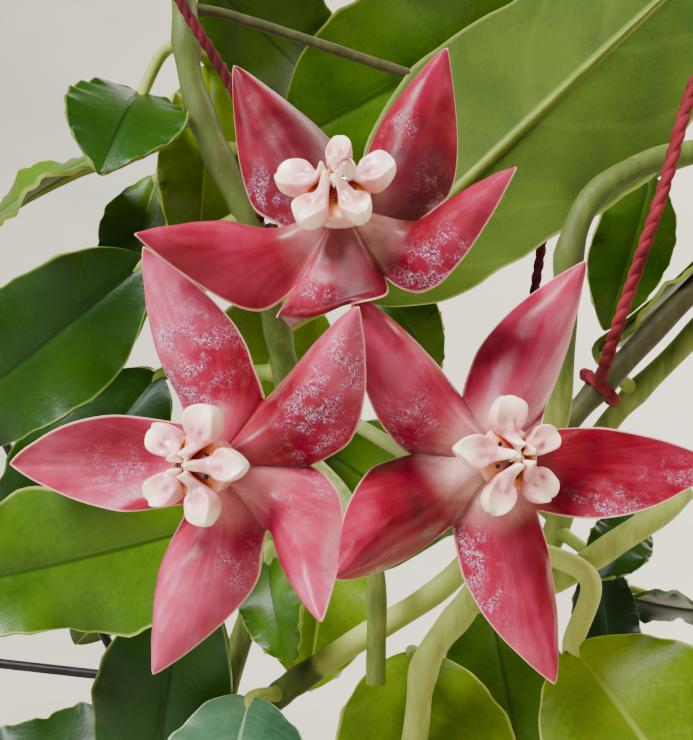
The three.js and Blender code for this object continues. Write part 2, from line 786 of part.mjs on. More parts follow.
function vineDirection(name, point) {
  const path = new THREE.CatmullRomCurve3(vineRoutes[name]);
  const distance = (index) => path.getPoint(index / routeSamples).distanceTo(point);
  let best = 0;
  for (let index = 1; index <= routeSamples; index += 1) {
    if (distance(index) < distance(best)) {
      best = index;
    }
  }
  return { centre: path.getPoint(best / routeSamples), ahead: path.getTangent(best / routeSamples) };
}

function twineSolid({ radius, vine, points }) {
  const foot = vineDirection(vine, points.at(-1));
  const length = solidOf(tube(points, radius, twine.steps, twine.sides));
  const top = knot(points[0], at(1, 0, 0), wire.radius, radius);
  const low = knot(foot.centre, foot.ahead, vineRadius, radius);
  return without(joined([length, top, low]), [vineCutters[vine], wireSolid('trellis_rung_top', seatGap)]);
}

// Assembly

for (const bloom of Object.values(flowers)) {
  bloom.axes = flowerFrame(bloom);
}

addNode('pot', potGeometry(), 'pot');
const legNames = Object.keys(wirePlaces).filter((name) => name.includes('leg'));
const soilCutters = [...Object.values(vineCutters), ...legNames.map((name) => wireSolid(name, seatGap))];
addNode('potting_mix', soilGeometry(soilCutters), 'soil');

for (const name of Object.keys(vineRoutes)) {
  addNode(`vine_${name}`, geometryOf(vines[name]), 'vine');
}

const corollaCutters = [];
for (const [name, bloom] of Object.entries(flowers)) {
  const sheet = corollaSurface(bloom);
  const corollaCutter = thicken(sheet, flower.thickness + 2 * seatGap);
  corollaCutters.push(corollaCutter);
  addNode(`corolla_${name}`, geometryOf(thicken(sheet, flower.thickness)), 'corolla');
  addNode(`corona_${name}`, geometryOf(without(coronaSolid(bloom), [corollaCutter])), 'corona');
}
const stalk = without(umbelStalk(Object.values(flowers)), [vineCutters.left, ...corollaCutters]);
addNode('umbel_stalk', geometryOf(stalk), 'vine');

leafPlaces.forEach((place, index) => {
  const name = `leaf_${String(index + 1).padStart(2, '0')}`;
  addNode(name, geometryOf(leafSolid(place, index)), place.look ?? 'leaf');
});

for (const name of Object.keys(wirePlaces)) {
  addNode(name, geometryOf(wireSolid(name, 0)), 'wire');
}

for (const [name, place] of Object.entries(twinePlaces)) {
  addNode(`twine_${name}`, geometryOf(twineSolid(place)), 'twine');
}

export default plant;
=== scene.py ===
import math
import random

import bpy
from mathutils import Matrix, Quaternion, Vector


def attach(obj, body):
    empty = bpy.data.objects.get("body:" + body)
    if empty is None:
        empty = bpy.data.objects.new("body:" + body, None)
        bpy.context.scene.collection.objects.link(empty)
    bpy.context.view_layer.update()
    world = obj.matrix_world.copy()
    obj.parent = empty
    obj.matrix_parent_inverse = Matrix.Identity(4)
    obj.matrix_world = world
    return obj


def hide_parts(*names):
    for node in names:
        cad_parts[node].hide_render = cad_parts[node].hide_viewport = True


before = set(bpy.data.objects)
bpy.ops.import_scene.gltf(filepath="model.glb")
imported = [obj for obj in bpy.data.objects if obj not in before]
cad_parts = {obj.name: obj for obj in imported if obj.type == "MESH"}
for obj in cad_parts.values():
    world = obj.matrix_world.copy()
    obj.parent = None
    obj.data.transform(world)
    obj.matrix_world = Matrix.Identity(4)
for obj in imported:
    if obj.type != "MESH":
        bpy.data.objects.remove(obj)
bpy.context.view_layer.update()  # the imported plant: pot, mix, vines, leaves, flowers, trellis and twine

bpy.ops.object.select_all(action="DESELECT")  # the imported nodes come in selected
mm = 0.001
seat = 0.3  # mm between a piece and what carries it, as in the solids

# Where the photograph was taken from: its middle, its scale at the flowers and the distance to them
picture = {
    "middleColumn": 346.5,
    "middleRow": 370,
    "mmPerPixel": 0.19,
    "distance": 260,
    "height": 335,
    "flowerPlane": -75,
    "tall": 740,
}


def at(x, y, z):
    return Vector((x, y, z)) * mm


def seen(column, row, depth):
    # a point at a column and row of the photograph, at a depth in mm behind the flowers
    scale = picture["mmPerPixel"] * (picture["distance"] + depth) / picture["distance"]
    return at(
        (column - picture["middleColumn"]) * scale,
        picture["flowerPlane"] + depth,
        picture["height"] - (row - picture["middleRow"]) * scale,
    )


def smooth(value, low, high):
    share = min(max((value - low) / (high - low), 0), 1)
    return share * share * (3 - 2 * share)


def blendValues(first, second, share):
    return first + (second - first) * share


def profile(stops, place):
    # a smooth line through (place, value) stops
    last = len(stops) - 2
    index = max(i for i in range(last + 1) if i == 0 or stops[i][0] <= place)
    (left, low), (right, high) = stops[index], stops[index + 1]
    slopes = []
    for i in (index, index + 1):
        before, after = stops[max(i - 1, 0)], stops[min(i + 1, last + 1)]
        slopes.append((after[1] - before[1]) / (after[0] - before[0]) * (right - left))
    part = min(max((place - left) / (right - left), 0), 1)
    bend = 3 * (high - low) - 2 * slopes[0] - slopes[1]
    turn = 2 * (low - high) + slopes[0] + slopes[1]
    return low + slopes[0] * part + bend * part ** 2 + turn * part ** 3


def curvePoint(points, share):
    # a centripetal Catmull-Rom curve, the same as the vines' own
    last = len(points) - 1
    index = min(int(share * last), last - 1)
    part = share * last - index
    near, far = points[index], points[index + 1]
    before = points[index - 1] if index > 0 else near * 2 - far
    after = points[index + 2] if index + 2 <= last else far * 2 - near
    spans = [(b - a).length_squared ** 0.25 for a, b in ((before, near), (near, far), (far, after))]
    leave = (near - before) / spans[0] - (far - before) / (spans[0] + spans[1]) + (far - near) / spans[1]
    reach = (far - near) / spans[1] - (after - near) / (spans[1] + spans[2]) + (after - far) / spans[2]
    leave *= spans[1]
    reach *= spans[1]
    bend = (far - near) * 3 - leave * 2 - reach
    turn = (near - far) * 2 + leave + reach
    return near + leave * part + bend * part ** 2 + turn * part ** 3


def evenMarks(points, step):
    # shares of the curve through the points, at about even steps along it
    samples = 400
    fine = [curvePoint(points, index / samples) for index in range(samples + 1)]
    marks, walked = [0], 0
    for index in range(1, samples + 1):
        walked += (fine[index] - fine[index - 1]).length
        if walked >= step:
            marks.append(index / samples)
            walked = 0
    if walked < step / 3:
        marks.pop()
    return marks + [1]


def evenRoute(points, step):
    return [curvePoint(points, mark) for mark in evenMarks(points, step)]


# Camera

bpy.ops.object.camera_add(location=at(0, picture["flowerPlane"] - picture["distance"], picture["height"]),
                          rotation=(math.radians(90), 0, 0))
camera = bpy.context.object
camera.name = "plantCamera"
halfTall = picture["tall"] / 2 * picture["mmPerPixel"]
camera.data.sensor_width = 36
camera.data.lens = camera.data.sensor_width / 2 * picture["distance"] / halfTall
camera.data.clip_start = 0.01
bpy.context.scene.camera = camera


# Materials

def linearColour(code):
    parts = [int(code[place:place + 2], 16) / 255 for place in (1, 3, 5)]
    return tuple(p / 12.92 if p <= 0.04045 else ((p + 0.055) / 1.055) ** 2.4 for p in parts) + (1,)


def addNode(tree, kind, inputs=None, output=None, stops=(), **settings):
    # a node with its settings and links; what comes back is its named output, or the first one in use
    node = tree.nodes.new("ShaderNode" + kind)
    for name, value in settings.items():
        setattr(node, name, value)
    for socket, value in (inputs or {}).items():
        if isinstance(value, bpy.types.NodeSocket):
            tree.links.new(value, node.inputs[socket])
        else:
            node.inputs[socket].default_value = linearColour(value) if isinstance(value, str) else value
    for index, (place, colour) in enumerate(stops):
        if index >= len(node.color_ramp.elements):
            node.color_ramp.elements.new(1)
        node.color_ramp.elements[index].position = place
        node.color_ramp.elements[index].color = linearColour(colour)
    return node.outputs[output] if output else next(socket for socket in node.outputs if socket.enabled)


def newMaterial(name, roughness, **constants):
    material = bpy.data.materials.new(name)
    material.use_nodes = True
    shader = material.node_tree.nodes["Principled BSDF"]
    shader.inputs["Roughness"].default_value = roughness
    for socket, value in constants.items():
        shader.inputs[socket.replace("_", " ")].default_value = value
    return material, material.node_tree, shader


def waxyPetal():
    # Hoya petals are thick and waxy: a satin cuticle over papillae, crinkled in patches where the light breaks up.
    # In those patches the lilac-white grains are a painted highlight and the dark purple between them painted
    # shade.
    # Streaks run out from the heart, and the margin is cream.
    material, tree, shader = newMaterial("waxyPetal", 0.36, IOR=1.4, Specular_IOR_Level=0.24, Coat_Weight=0.03,
                                         Coat_Roughness=0.2)
    place = addNode(tree, "TexCoord", output="Object")
    edge, mist, tone, glint = [addNode(tree, "Attribute", output="Fac", attribute_name=name)
                               for name in ("edge", "mist", "tone", "glint")]
    ray = addNode(tree, "Attribute", output="Vector", attribute_name="ray")
    stretched = addNode(tree, "Mapping", {"Vector": ray, "Scale": (24, 24, 2.5)})
    streaks = addNode(tree, "TexNoise", {"Vector": stretched, "Scale": 1, "Detail": 3})
    clouds = addNode(tree, "TexNoise", {"Vector": place, "Scale": 110, "Detail": 3})
    drift = addNode(tree, "Math", {0: clouds, 1: 0.72, 2: -0.53}, operation="MULTIPLY_ADD")
    uneven = addNode(tree, "Math", {0: streaks, 1: 0.34, 2: drift}, operation="MULTIPLY_ADD")
    # tone holds the petal's own colour together with the shade patches, partly painted light and shade, and the
    # painted shade at the heart
    blended = addNode(tree, "Math", {0: uneven, 1: tone}, operation="ADD")
    flesh = addNode(tree, "ValToRGB", {"Fac": blended}, stops=[
        (0, "#4c0010"), (0.28, "#72061c"), (0.55, "#901a38"), (0.8, "#a83e58"), (1, "#bc6a80")])
    grains = addNode(tree, "TexNoise", {"Vector": place, "Scale": 260, "Detail": 5})
    dusty = addNode(tree, "MapRange", {"Value": grains, "From Min": 0.3, "From Max": 0.62, "To Min": 0.45})
    dusted = addNode(tree, "Math", {0: dusty, 1: mist}, operation="MULTIPLY", use_clamp=True)
    misted = addNode(tree, "Mix", {0: dusted, 6: flesh, 7: "#e2b4a6"}, data_type="RGBA")
    crinkles = addNode(tree, "TexNoise", {"Vector": place, "Scale": 2300, "Detail": 2, "Distortion": 1.4})
    peaks = addNode(tree, "MapRange", {"Value": crinkles, "From Min": 0.5, "From Max": 0.64, "To Max": 0.74})
    patches = addNode(tree, "TexNoise", {"Vector": place, "Scale": 300, "Detail": 3})
    broken = addNode(tree, "MapRange", {"Value": patches, "From Min": 0.44, "From Max": 0.6})
    grained = addNode(tree, "Math", {0: broken, 1: glint}, operation="MULTIPLY", use_clamp=True)
    # glint patches: lilac-white painted highlight grains on the crinkle peaks, painted shade in the valleys
    spark = addNode(tree, "Math", {0: peaks, 1: grained}, operation="MULTIPLY")
    valleys = addNode(tree, "MapRange", {"Value": crinkles, "From Min": 0.36, "From Max": 0.5,
                                         "To Min": 0.7, "To Max": 0})
    shaded = addNode(tree, "Math", {0: valleys, 1: grained}, operation="MULTIPLY")
    valleyShaded = addNode(tree, "Mix", {0: shaded, 6: misted, 7: "#641246"}, data_type="RGBA")
    sparkled = addNode(tree, "Mix", {0: spark, 6: valleyShaded, 7: "#efcdec"}, data_type="RGBA")
    rim = addNode(tree, "MapRange", {"Value": edge, "From Min": 0.05, "From Max": 0.4,
                                     "To Min": 0.8, "To Max": 0})
    edged = addNode(tree, "Mix", {0: rim, 6: sparkled, 7: "#e8b19c"}, data_type="RGBA")
    tree.links.new(edged, shader.inputs["Base Color"])
    swells = addNode(tree, "TexNoise", {"Vector": place, "Scale": 240, "Detail": 3})
    depth = addNode(tree, "Math", {0: grained, 1: 0.8, 2: 0.1}, operation="MULTIPLY_ADD")
    first = addNode(tree, "Bump", {"Height": swells, "Strength": 0.25, "Distance": 0.0008})
    second = addNode(tree, "Bump", {"Height": crinkles, "Strength": depth, "Distance": 0.0004, "Normal": first})
    tree.links.new(second, shader.inputs["Normal"])
    gloss = addNode(tree, "MapRange", {"Value": clouds, "From Min": 0.35, "From Max": 0.65,
                                       "To Min": 0.25, "To Max": 0.4})
    dull = addNode(tree, "MapRange", {"Value": tone, "From Min": -0.1, "From Max": 0.3,
                                      "To Min": 0.26, "To Max": 0})
    rough = addNode(tree, "Math", {0: gloss, 1: dull}, operation="ADD")
    tree.links.new(rough, shader.inputs["Roughness"])
    return material


def petalUnderside():
    # The back of a petal is matt and paler, cream flushed with pink
    material, tree, shader = newMaterial("petalUnderside", 0.5, IOR=1.45)
    place = addNode(tree, "TexCoord", output="Object")
    blotches = addNode(tree, "TexNoise", {"Vector": place, "Scale": 150, "Detail": 4})
    flush = addNode(tree, "ValToRGB", {"Fac": blotches}, stops=[
        (0.35, "#b05a5a"), (0.55, "#c47a74"), (0.7, "#d29a88")])
    tree.links.new(flush, shader.inputs["Base Color"])
    skin = addNode(tree, "TexNoise", {"Vector": place, "Scale": 1200, "Detail": 2})
    bump = addNode(tree, "Bump", {"Height": skin, "Strength": 0.3, "Distance": 0.0002})
    tree.links.new(bump, shader.inputs["Normal"])
    return material


def coronaWax():
    # The corona is dense smooth wax: cream lobes with lilac-pink spots, and orange-brown hollows
    # between them, each with one dark dot of nectar gland. A blush below zero is the column's green, deepest in
    # its grooves, partly its own colour and partly painted shade.
    material, tree, shader = newMaterial("coronaWax", 0.34, IOR=1.45, Subsurface_Weight=0.15,
                                         Subsurface_Scale=0.001, Coat_Weight=0.35, Coat_Roughness=0.12)
    place = addNode(tree, "TexCoord", output="Object")
    tint = addNode(tree, "Attribute", output="Vector", attribute_name="tint")
    blush, rust, dot = addNode(tree, "SeparateXYZ", {0: tint}).node.outputs
    patches = addNode(tree, "TexNoise", {"Vector": place, "Scale": 420, "Detail": 3})
    drift = addNode(tree, "Math", {0: patches, 1: 1.1, 2: -0.55}, operation="MULTIPLY_ADD")
    uneven = addNode(tree, "Math", {0: drift, 1: blush, 2: blush}, operation="MULTIPLY_ADD")
    flushed = addNode(tree, "MapRange", {"Value": uneven, "From Min": 0.02, "From Max": 1})
    lobe = addNode(tree, "ValToRGB", {"Fac": flushed}, stops=[
        (0, "#ffe8c2"), (0.3, "#f8b6a8"), (0.65, "#d07c88"), (1, "#a84c62")])
    green = addNode(tree, "MapRange", {"Value": blush, "From Min": -1, "From Max": 0, "To Min": 1, "To Max": 0})
    flesh = addNode(tree, "Mix", {0: green, 6: lobe, 7: "#b5b078"}, data_type="RGBA")
    moved = addNode(tree, "Math", {0: drift, 1: 0.5, 2: rust}, operation="MULTIPLY_ADD")
    hollow = addNode(tree, "ValToRGB", {"Fac": moved}, stops=[
        (0.2, "#efbf98"), (0.45, "#d9883f"), (0.7, "#a84310"), (0.95, "#780c06")])
    share = addNode(tree, "MapRange", {"Value": moved, "From Min": 0.1, "From Max": 0.4})
    body = addNode(tree, "Mix", {0: share, 6: flesh, 7: hollow}, data_type="RGBA")
    dotted = addNode(tree, "Mix", {0: dot, 6: body, 7: "#1c0604"}, data_type="RGBA")
    tree.links.new(dotted, shader.inputs["Base Color"])
    grain = addNode(tree, "TexNoise", {"Vector": place, "Scale": 500, "Detail": 3})
    bump = addNode(tree, "Bump", {"Height": grain, "Strength": 0.18, "Distance": 0.0003})
    tree.links.new(bump, shader.inputs["Normal"])
    return material


def nectar():
    # A drop of clear nectar that hangs in the top flower's corona
    return newMaterial("nectar", 0.03, IOR=1.36, Transmission_Weight=1.0)[0]


def leafCuticle(name, dark, light, rimColour, ribColour, roughness, veinShare, ribWidth):
    # A hoya leaf is thick and leathery, with a smooth satin cuticle: the side veins are sunk and faint,
    # the midrib is paler, and a thin translucent rim shows at the margin.
    material, tree, shader = newMaterial(name, roughness, IOR=1.45, Specular_IOR_Level=0.22)
    place = addNode(tree, "TexCoord", output="Object")
    across, along = addNode(tree, "SeparateXYZ", {0: place.node.outputs["UV"]}).node.outputs[:2]
    centred = addNode(tree, "Math", {0: across, 1: 2, 2: -1}, operation="MULTIPLY_ADD")
    side = addNode(tree, "Math", {0: centred}, operation="ABSOLUTE")
    swept = addNode(tree, "Math", {0: side, 1: 1.3}, operation="POWER")
    wobble = addNode(tree, "TexNoise", {"Vector": place, "Scale": 60, "Detail": 2})
    sweep = addNode(tree, "Math", {0: wobble, 1: 0.5, 2: swept}, operation="MULTIPLY_ADD")
    turns = addNode(tree, "Math", {0: along, 1: 50}, operation="MULTIPLY")
    phase = addNode(tree, "Math", {0: sweep, 1: -7, 2: turns}, operation="MULTIPLY_ADD")
    wave = addNode(tree, "Math", {0: phase}, operation="SINE")
    vein = addNode(tree, "MapRange", {"Value": wave, "From Min": 0.9, "From Max": 1, "To Max": veinShare})
    broad = addNode(tree, "TexNoise", {"Vector": place, "Scale": 45, "Detail": 3})
    fine = addNode(tree, "TexNoise", {"Vector": place, "Scale": 900, "Detail": 3})
    blotch = addNode(tree, "Math", {0: fine, 1: 0.25, 2: broad}, operation="MULTIPLY_ADD")
    flesh = addNode(tree, "ValToRGB", {"Fac": blotch}, stops=[(0.48, dark), (0.78, light)])
    veined = addNode(tree, "Mix", {0: vein, 6: flesh, 7: ribColour}, data_type="RGBA")
    rib = addNode(tree, "MapRange", {"Value": side, "From Min": ribWidth * 0.4, "From Max": ribWidth,
                                     "To Min": 0.75, "To Max": 0})
    ribbed = addNode(tree, "Mix", {0: rib, 6: veined, 7: ribColour}, data_type="RGBA")
    rim = addNode(tree, "MapRange", {"Value": side, "From Min": 0.96, "From Max": 0.99, "To Max": 0.8})
    rimmed = addNode(tree, "Mix", {0: rim, 6: ribbed, 7: rimColour}, data_type="RGBA")
    tree.links.new(rimmed, shader.inputs["Base Color"])
    relief = addNode(tree, "Math", {0: vein, 1: -1.2, 2: fine}, operation="MULTIPLY_ADD")
    bump = addNode(tree, "Bump", {"Height": relief, "Strength": 0.2, "Distance": 0.0004})
    tree.links.new(bump, shader.inputs["Normal"])
    return material


def vineBark(name, stops, speckColour, speckShare):
    # A climbing stem: a dull green skin with lengthwise streaks that turns grey-brown with age, and
    # pale corky breathing pores. The tone attribute says how old each length of it is.
    material, tree, shader = newMaterial(name, 0.55, IOR=1.45, Specular_IOR_Level=0.2)
    place = addNode(tree, "TexCoord", output="Object")
    tone = addNode(tree, "Attribute", output="Fac", attribute_name="tone")
    stretched = addNode(tree, "Mapping", {"Vector": place, "Scale": (420, 420, 110)})
    streaks = addNode(tree, "TexNoise", {"Vector": stretched, "Scale": 1, "Detail": 4})
    shift = addNode(tree, "Math", {0: streaks, 1: -0.5}, operation="ADD")
    aged = addNode(tree, "Math", {0: shift, 1: 0.5, 2: tone}, operation="MULTIPLY_ADD")
    skin = addNode(tree, "ValToRGB", {"Fac": aged}, stops=stops)
    cells = addNode(tree, "TexVoronoi", {"Vector": place, "Scale": 560})
    speck = addNode(tree, "MapRange", {"Value": cells, "From Min": 0.1, "From Max": 0.26,
                                       "To Min": speckShare, "To Max": 0})
    specked = addNode(tree, "Mix", {0: speck, 6: skin, 7: speckColour}, data_type="RGBA")
    tree.links.new(specked, shader.inputs["Base Color"])
    bump = addNode(tree, "Bump", {"Height": streaks, "Strength": 0.35, "Distance": 0.0005})
    bumped = addNode(tree, "Bump", {"Height": cells, "Strength": 0.15, "Distance": 0.0003, "Normal": bump})
    tree.links.new(bumped, shader.inputs["Normal"])
    return material


def terracotta():
    # Fired unglazed clay: matt and granular, with turning lines and a bloom of lime from the water
    material, tree, shader = newMaterial("terracotta", 0.88, IOR=1.5)
    place = addNode(tree, "TexCoord", output="Object")
    clouds = addNode(tree, "TexNoise", {"Vector": place, "Scale": 16, "Detail": 5})
    clay = addNode(tree, "ValToRGB", {"Fac": clouds}, stops=[
        (0.3, "#9a5636"), (0.55, "#ad6744"), (0.75, "#b87a58")])
    grit = addNode(tree, "TexNoise", {"Vector": place, "Scale": 900, "Detail": 3})
    bands = addNode(tree, "Mapping", {"Vector": place, "Scale": (3, 3, 420)})
    turned = addNode(tree, "TexNoise", {"Vector": bands, "Scale": 1, "Detail": 2})
    limePlace = addNode(tree, "Mapping", {"Vector": place, "Location": (3, 1, 2), "Scale": (34, 34, 20)})
    lime = addNode(tree, "TexNoise", {"Vector": limePlace, "Scale": 1, "Detail": 6})
    bloom = addNode(tree, "MapRange", {"Value": lime, "From Min": 0.5, "From Max": 0.8, "To Max": 0.3})
    limed = addNode(tree, "Mix", {0: bloom, 6: clay, 7: "#dcc0a8"}, data_type="RGBA")
    tree.links.new(limed, shader.inputs["Base Color"])
    relief = addNode(tree, "Math", {0: turned, 1: 0.6, 2: grit}, operation="MULTIPLY_ADD")
    bump = addNode(tree, "Bump", {"Height": relief, "Strength": 0.4, "Distance": 0.0004})
    tree.links.new(bump, shader.inputs["Normal"])
    return material


def compost(name, dark, light, scale):
    # Bark compost: damp dark crumbs between dry brown chips of pine bark
    material, tree, shader = newMaterial(name, 0.92)
    place = addNode(tree, "TexCoord", output="Object")
    crumbs = addNode(tree, "TexNoise", {"Vector": place, "Scale": scale, "Detail": 6})
    earth = addNode(tree, "ValToRGB", {"Fac": crumbs}, stops=[(0.35, dark), (0.66, light)])
    tree.links.new(earth, shader.inputs["Base Color"])
    bump = addNode(tree, "Bump", {"Height": crumbs, "Strength": 0.8, "Distance": 0.002})
    tree.links.new(bump, shader.inputs["Normal"])
    return material


def paintedWire():
    # Steel wire dipped in black paint: an even satin coat with slight sags
    material, tree, shader = newMaterial("blackPaintedWire", 0.42, IOR=1.5, Specular_IOR_Level=0.25)
    place = addNode(tree, "TexCoord", output="Object")
    coat = addNode(tree, "TexNoise", {"Vector": place, "Scale": 300, "Detail": 3})
    black = addNode(tree, "ValToRGB", {"Fac": coat}, stops=[(0.35, "#0b0908"), (0.7, "#1d1815")])
    tree.links.new(black, shader.inputs["Base Color"])
    bump = addNode(tree, "Bump", {"Height": coat, "Strength": 0.15, "Distance": 0.0004})
    tree.links.new(bump, shader.inputs["Normal"])
    return material


def dyedTwine(name, dark, light):
    # Dyed cotton string: matt, with paler fibres that run along each strand
    material, tree, shader = newMaterial(name, 0.85, IOR=1.45, Specular_IOR_Level=0.2)
    strandPlace = addNode(tree, "TexCoord", output="UV")
    fibrePlace = addNode(tree, "Mapping", {"Vector": strandPlace, "Scale": (16, 3, 1)})
    fibres = addNode(tree, "TexNoise", {"Vector": fibrePlace, "Scale": 1, "Detail": 4})
    dyed = addNode(tree, "ValToRGB", {"Fac": fibres}, stops=[(0.35, dark), (0.65, light)])
    tree.links.new(dyed, shader.inputs["Base Color"])
    bump = addNode(tree, "Bump", {"Height": fibres, "Strength": 0.6, "Distance": 0.0004})
    tree.links.new(bump, shader.inputs["Normal"])
    return material


petalFace = waxyPetal()
petalBack = petalUnderside()
coronaFinish = coronaWax()
nectarFinish = nectar()
underLeaf = leafCuticle("leafUnderside", "#30460a", "#42580e", "#7a863c", "#82923c", 0.7, 0.05, 0.06)
# Leaf greens: each leaf's own colour mixed with painted light and shade; bright is partly painted light, dark and
# deep partly painted shade for leaves in shadow, glaucous is a leaf's own blue-green
leafTones = {
    "bright": ("#4a6604", "#6e860c", "#a9b350", "#8c9c34"),
    "lime": ("#3c5c00", "#5e7e02", "#b4c070", "#8c9c34"),
    "mid": ("#284600", "#426206", "#8c9b40", "#1c3800"),
    "dark": ("#122e00", "#1e4000", "#647a30", "#0a2200"),
    "deep": ("#071803", "#10280a", "#3c5620", "#2a4518"),
    "glaucous": ("#204028", "#3e6040", "#9ab490", "#6f9070"),
}
leafFaces = {
    tone: leafCuticle(f"leafCuticle.{tone}", dark, light, rim, rib, 0.36, 0.08, 0.045)
    for tone, (dark, light, rim, rib) in leafTones.items()
}
vineSkin = vineBark("climbingStemSkin", [
    (0, "#a0ae50"), (0.25, "#7c883c"), (0.5, "#4c5c22"), (0.75, "#434222"), (1, "#2c2816")], "#a9ab80", 0.06)
petioleFinish = vineBark("petioleSkin", [(0, "#a2ad50"), (0.6, "#5f7426")], "#a5ae68", 0.1)
stalkFinish = vineBark("umbelStalkSkin", [(0, "#7e8a4a"), (0.6, "#5f6c34")], "#a8ac80", 0.12)
potClay = terracotta()
dampMix = compost("dampBarkMix", "#1d120b", "#3d2818", 260)
barkChip = compost("pineBarkChip", "#3b2416", "#6e4a2f", 420)
pumice = compost("pumiceGrain", "#b9b1a2", "#e0dacd", 600)
wireCoat = paintedWire()
twineFinishes = {
    "left": dyedTwine("darkRedTwine", "#34060a", "#581016"),
    # the middle twine is darker: partly its own maroon dye, partly painted shade where it hangs in shadow
    "middle": dyedTwine("maroonTwineInShade", "#3a0f14", "#5c1a20"),
    "right": dyedTwine("redTwine", "#4a0a12", "#78222a"),
}
print("materials ready")


# Modelling helpers

def selectOnly(*pieces):
    bpy.ops.object.select_all(action="DESELECT")
    for piece in pieces:
        piece.select_set(True)
    bpy.context.view_layer.objects.active = pieces[0]


def joinPieces(pieces):
    selectOnly(*pieces)
    bpy.ops.object.join()
    return bpy.context.object


def applyModifiers(piece):
    selectOnly(piece)
    for modifier in list(piece.modifiers):
        bpy.ops.object.modifier_apply(modifier=modifier.name)


def smoothShade(piece, angle=40):
    selectOnly(piece)
    bpy.ops.object.shade_smooth_by_angle(angle=math.radians(angle))


def addRod(places, radii, material, sides=12, tones=None):
    # a round stem along the places, with its own radius at each and closed ends
    bpy.ops.curve.primitive_bezier_curve_add()
    rod = bpy.context.object
    curve = rod.data
    curve.dimensions = "3D"
    curve.bevel_depth = 1
    curve.bevel_resolution = (sides - 4) // 2
    curve.use_fill_caps = True
    curve.splines.clear()
    spline = curve.splines.new("POLY")
    spline.points.add(len(places) - 1)
    for point, place, radius in zip(spline.points, places, radii):
        point.co = (*place, 1)
        point.radius = radius
    curve.materials.append(material)
    selectOnly(rod)
    bpy.ops.object.convert(target="MESH")
    rod = bpy.context.object
    ring = len(rod.data.vertices) // len(places)
    tones = tones or [0.3] * len(places)
    storeValues(rod, "tone", [tones[min(vertex.index // ring, len(tones) - 1)] for vertex in rod.data.vertices])
    return rod


def addSheet(columns, rows, place):
    # a grid over across -1 to 1 and along 0 to 1, moved point by point
    bpy.ops.mesh.primitive_grid_add(x_subdivisions=columns, y_subdivisions=rows, size=2, calc_uvs=True)
    sheet = bpy.context.object
    for vertex in sheet.data.vertices:
        vertex.co = place(vertex.co.x, (vertex.co.y + 1) / 2)
    return sheet


def storeValues(piece, name, values):
    # one number for each point, or three for a vector
    single = len(values) == len(piece.data.vertices)
    layer = piece.data.attributes.new(name, "FLOAT" if single else "FLOAT_VECTOR", "POINT")
    layer.data.foreach_set("value" if single else "vector", values)


def editAll():
    bpy.ops.object.mode_set(mode="EDIT")
    bpy.ops.mesh.select_all(action="SELECT")


def addWall(sheet, thickness):
    # thickness on both sides of a sheet, with its second material on the back
    wall = sheet.modifiers.new("thickness", "SOLIDIFY")
    wall.thickness = thickness * mm
    wall.offset = 0
    wall.material_offset = 1
    wall.material_offset_rim = 0
    return wall


def finishPiece(piece, name, slot, *nodes):
    piece.name = name
    piece.data.name = name
    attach(piece, "root")
    if nodes:
        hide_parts(*nodes)


# Pot and potting mix

pot = {"rim": 82, "foot": 60, "height": 142, "wall": 6, "floor": 9, "lip": 24, "lipOut": 5, "taper": 3,
       "edge": 2, "heel": 6, "steps": 96}


def makePot():
    # a plane's corners merge into the middle of the floor, the profile is extruded from there and spun
    bore = pot["rim"] - pot["wall"]
    lipFoot = pot["height"] - pot["lip"]
    profileLine = [
        (0, 0), (pot["foot"] - pot["heel"], 0), (pot["foot"] - pot["edge"], 0), (pot["foot"], pot["edge"]),
        (pot["rim"] - pot["lipOut"], lipFoot), (pot["rim"] - 1, lipFoot + 1), (pot["rim"], lipFoot + 3),
        (pot["rim"] + 1, pot["height"] - 3), (pot["rim"] - 0.2, pot["height"] - 0.6),
        (pot["rim"] - 2, pot["height"]), (bore + 1.5, pot["height"]), (bore, pot["height"] - 2),
        (bore - pot["taper"], lipFoot), (pot["foot"] - pot["wall"], pot["floor"]), (0, pot["floor"]),
    ]
    bpy.ops.mesh.primitive_plane_add(size=0.01)
    shell = bpy.context.object
    editAll()
    bpy.ops.mesh.merge(type="CENTER")
    for (fromRadius, fromHeight), (toRadius, toHeight) in zip(profileLine, profileLine[1:]):
        step = at(toRadius - fromRadius, 0, toHeight - fromHeight)
        bpy.ops.mesh.extrude_region_move(TRANSFORM_OT_translate={"value": tuple(step)})
    bpy.ops.mesh.select_all(action="SELECT")
    bpy.ops.mesh.spin(steps=pot["steps"], angle=2 * math.pi, center=(0, 0, 0), axis=(0, 0, 1))
    bpy.ops.mesh.select_all(action="SELECT")
    bpy.ops.mesh.remove_doubles(threshold=1e-5)
    bpy.ops.mesh.normals_make_consistent(inside=False)
    bpy.ops.object.mode_set(mode="OBJECT")
    shell.data.materials.append(potClay)
    smoothShade(shell, 30)
    finishPiece(shell, "terracottaPot", "pot", "pot")


mixBed = {"top": 128, "relief": 2.2, "sideGap": 1.2, "bareEdge": 6, "cells": 72, "chips": 260, "grains": 60,
          "chipSize": (7, 4.2, 1.8), "grainSize": (2, 1.8, 1.6), "chipRise": 0.9, "grainRise": 0.6, "seed": 11}


def boreAt(height):
    bore = pot["rim"] - pot["wall"]
    lipFoot = pot["height"] - pot["lip"]
    if height > lipFoot:
        share = (pot["height"] - pot["edge"] - height) / (pot["lip"] - pot["edge"])
        return bore - pot["taper"] * share
    share = (height - pot["floor"]) / (lipFoot - pot["floor"])
    return blendValues(pot["foot"] - pot["wall"], bore - pot["taper"], share)


def mixHeight(x, y):
    lumps = math.sin(x * 0.31 + 1) * math.cos(y * 0.27) + 0.6 * math.sin(x * 0.13 - y * 0.19)
    return mixBed["top"] + mixBed["relief"] * lumps


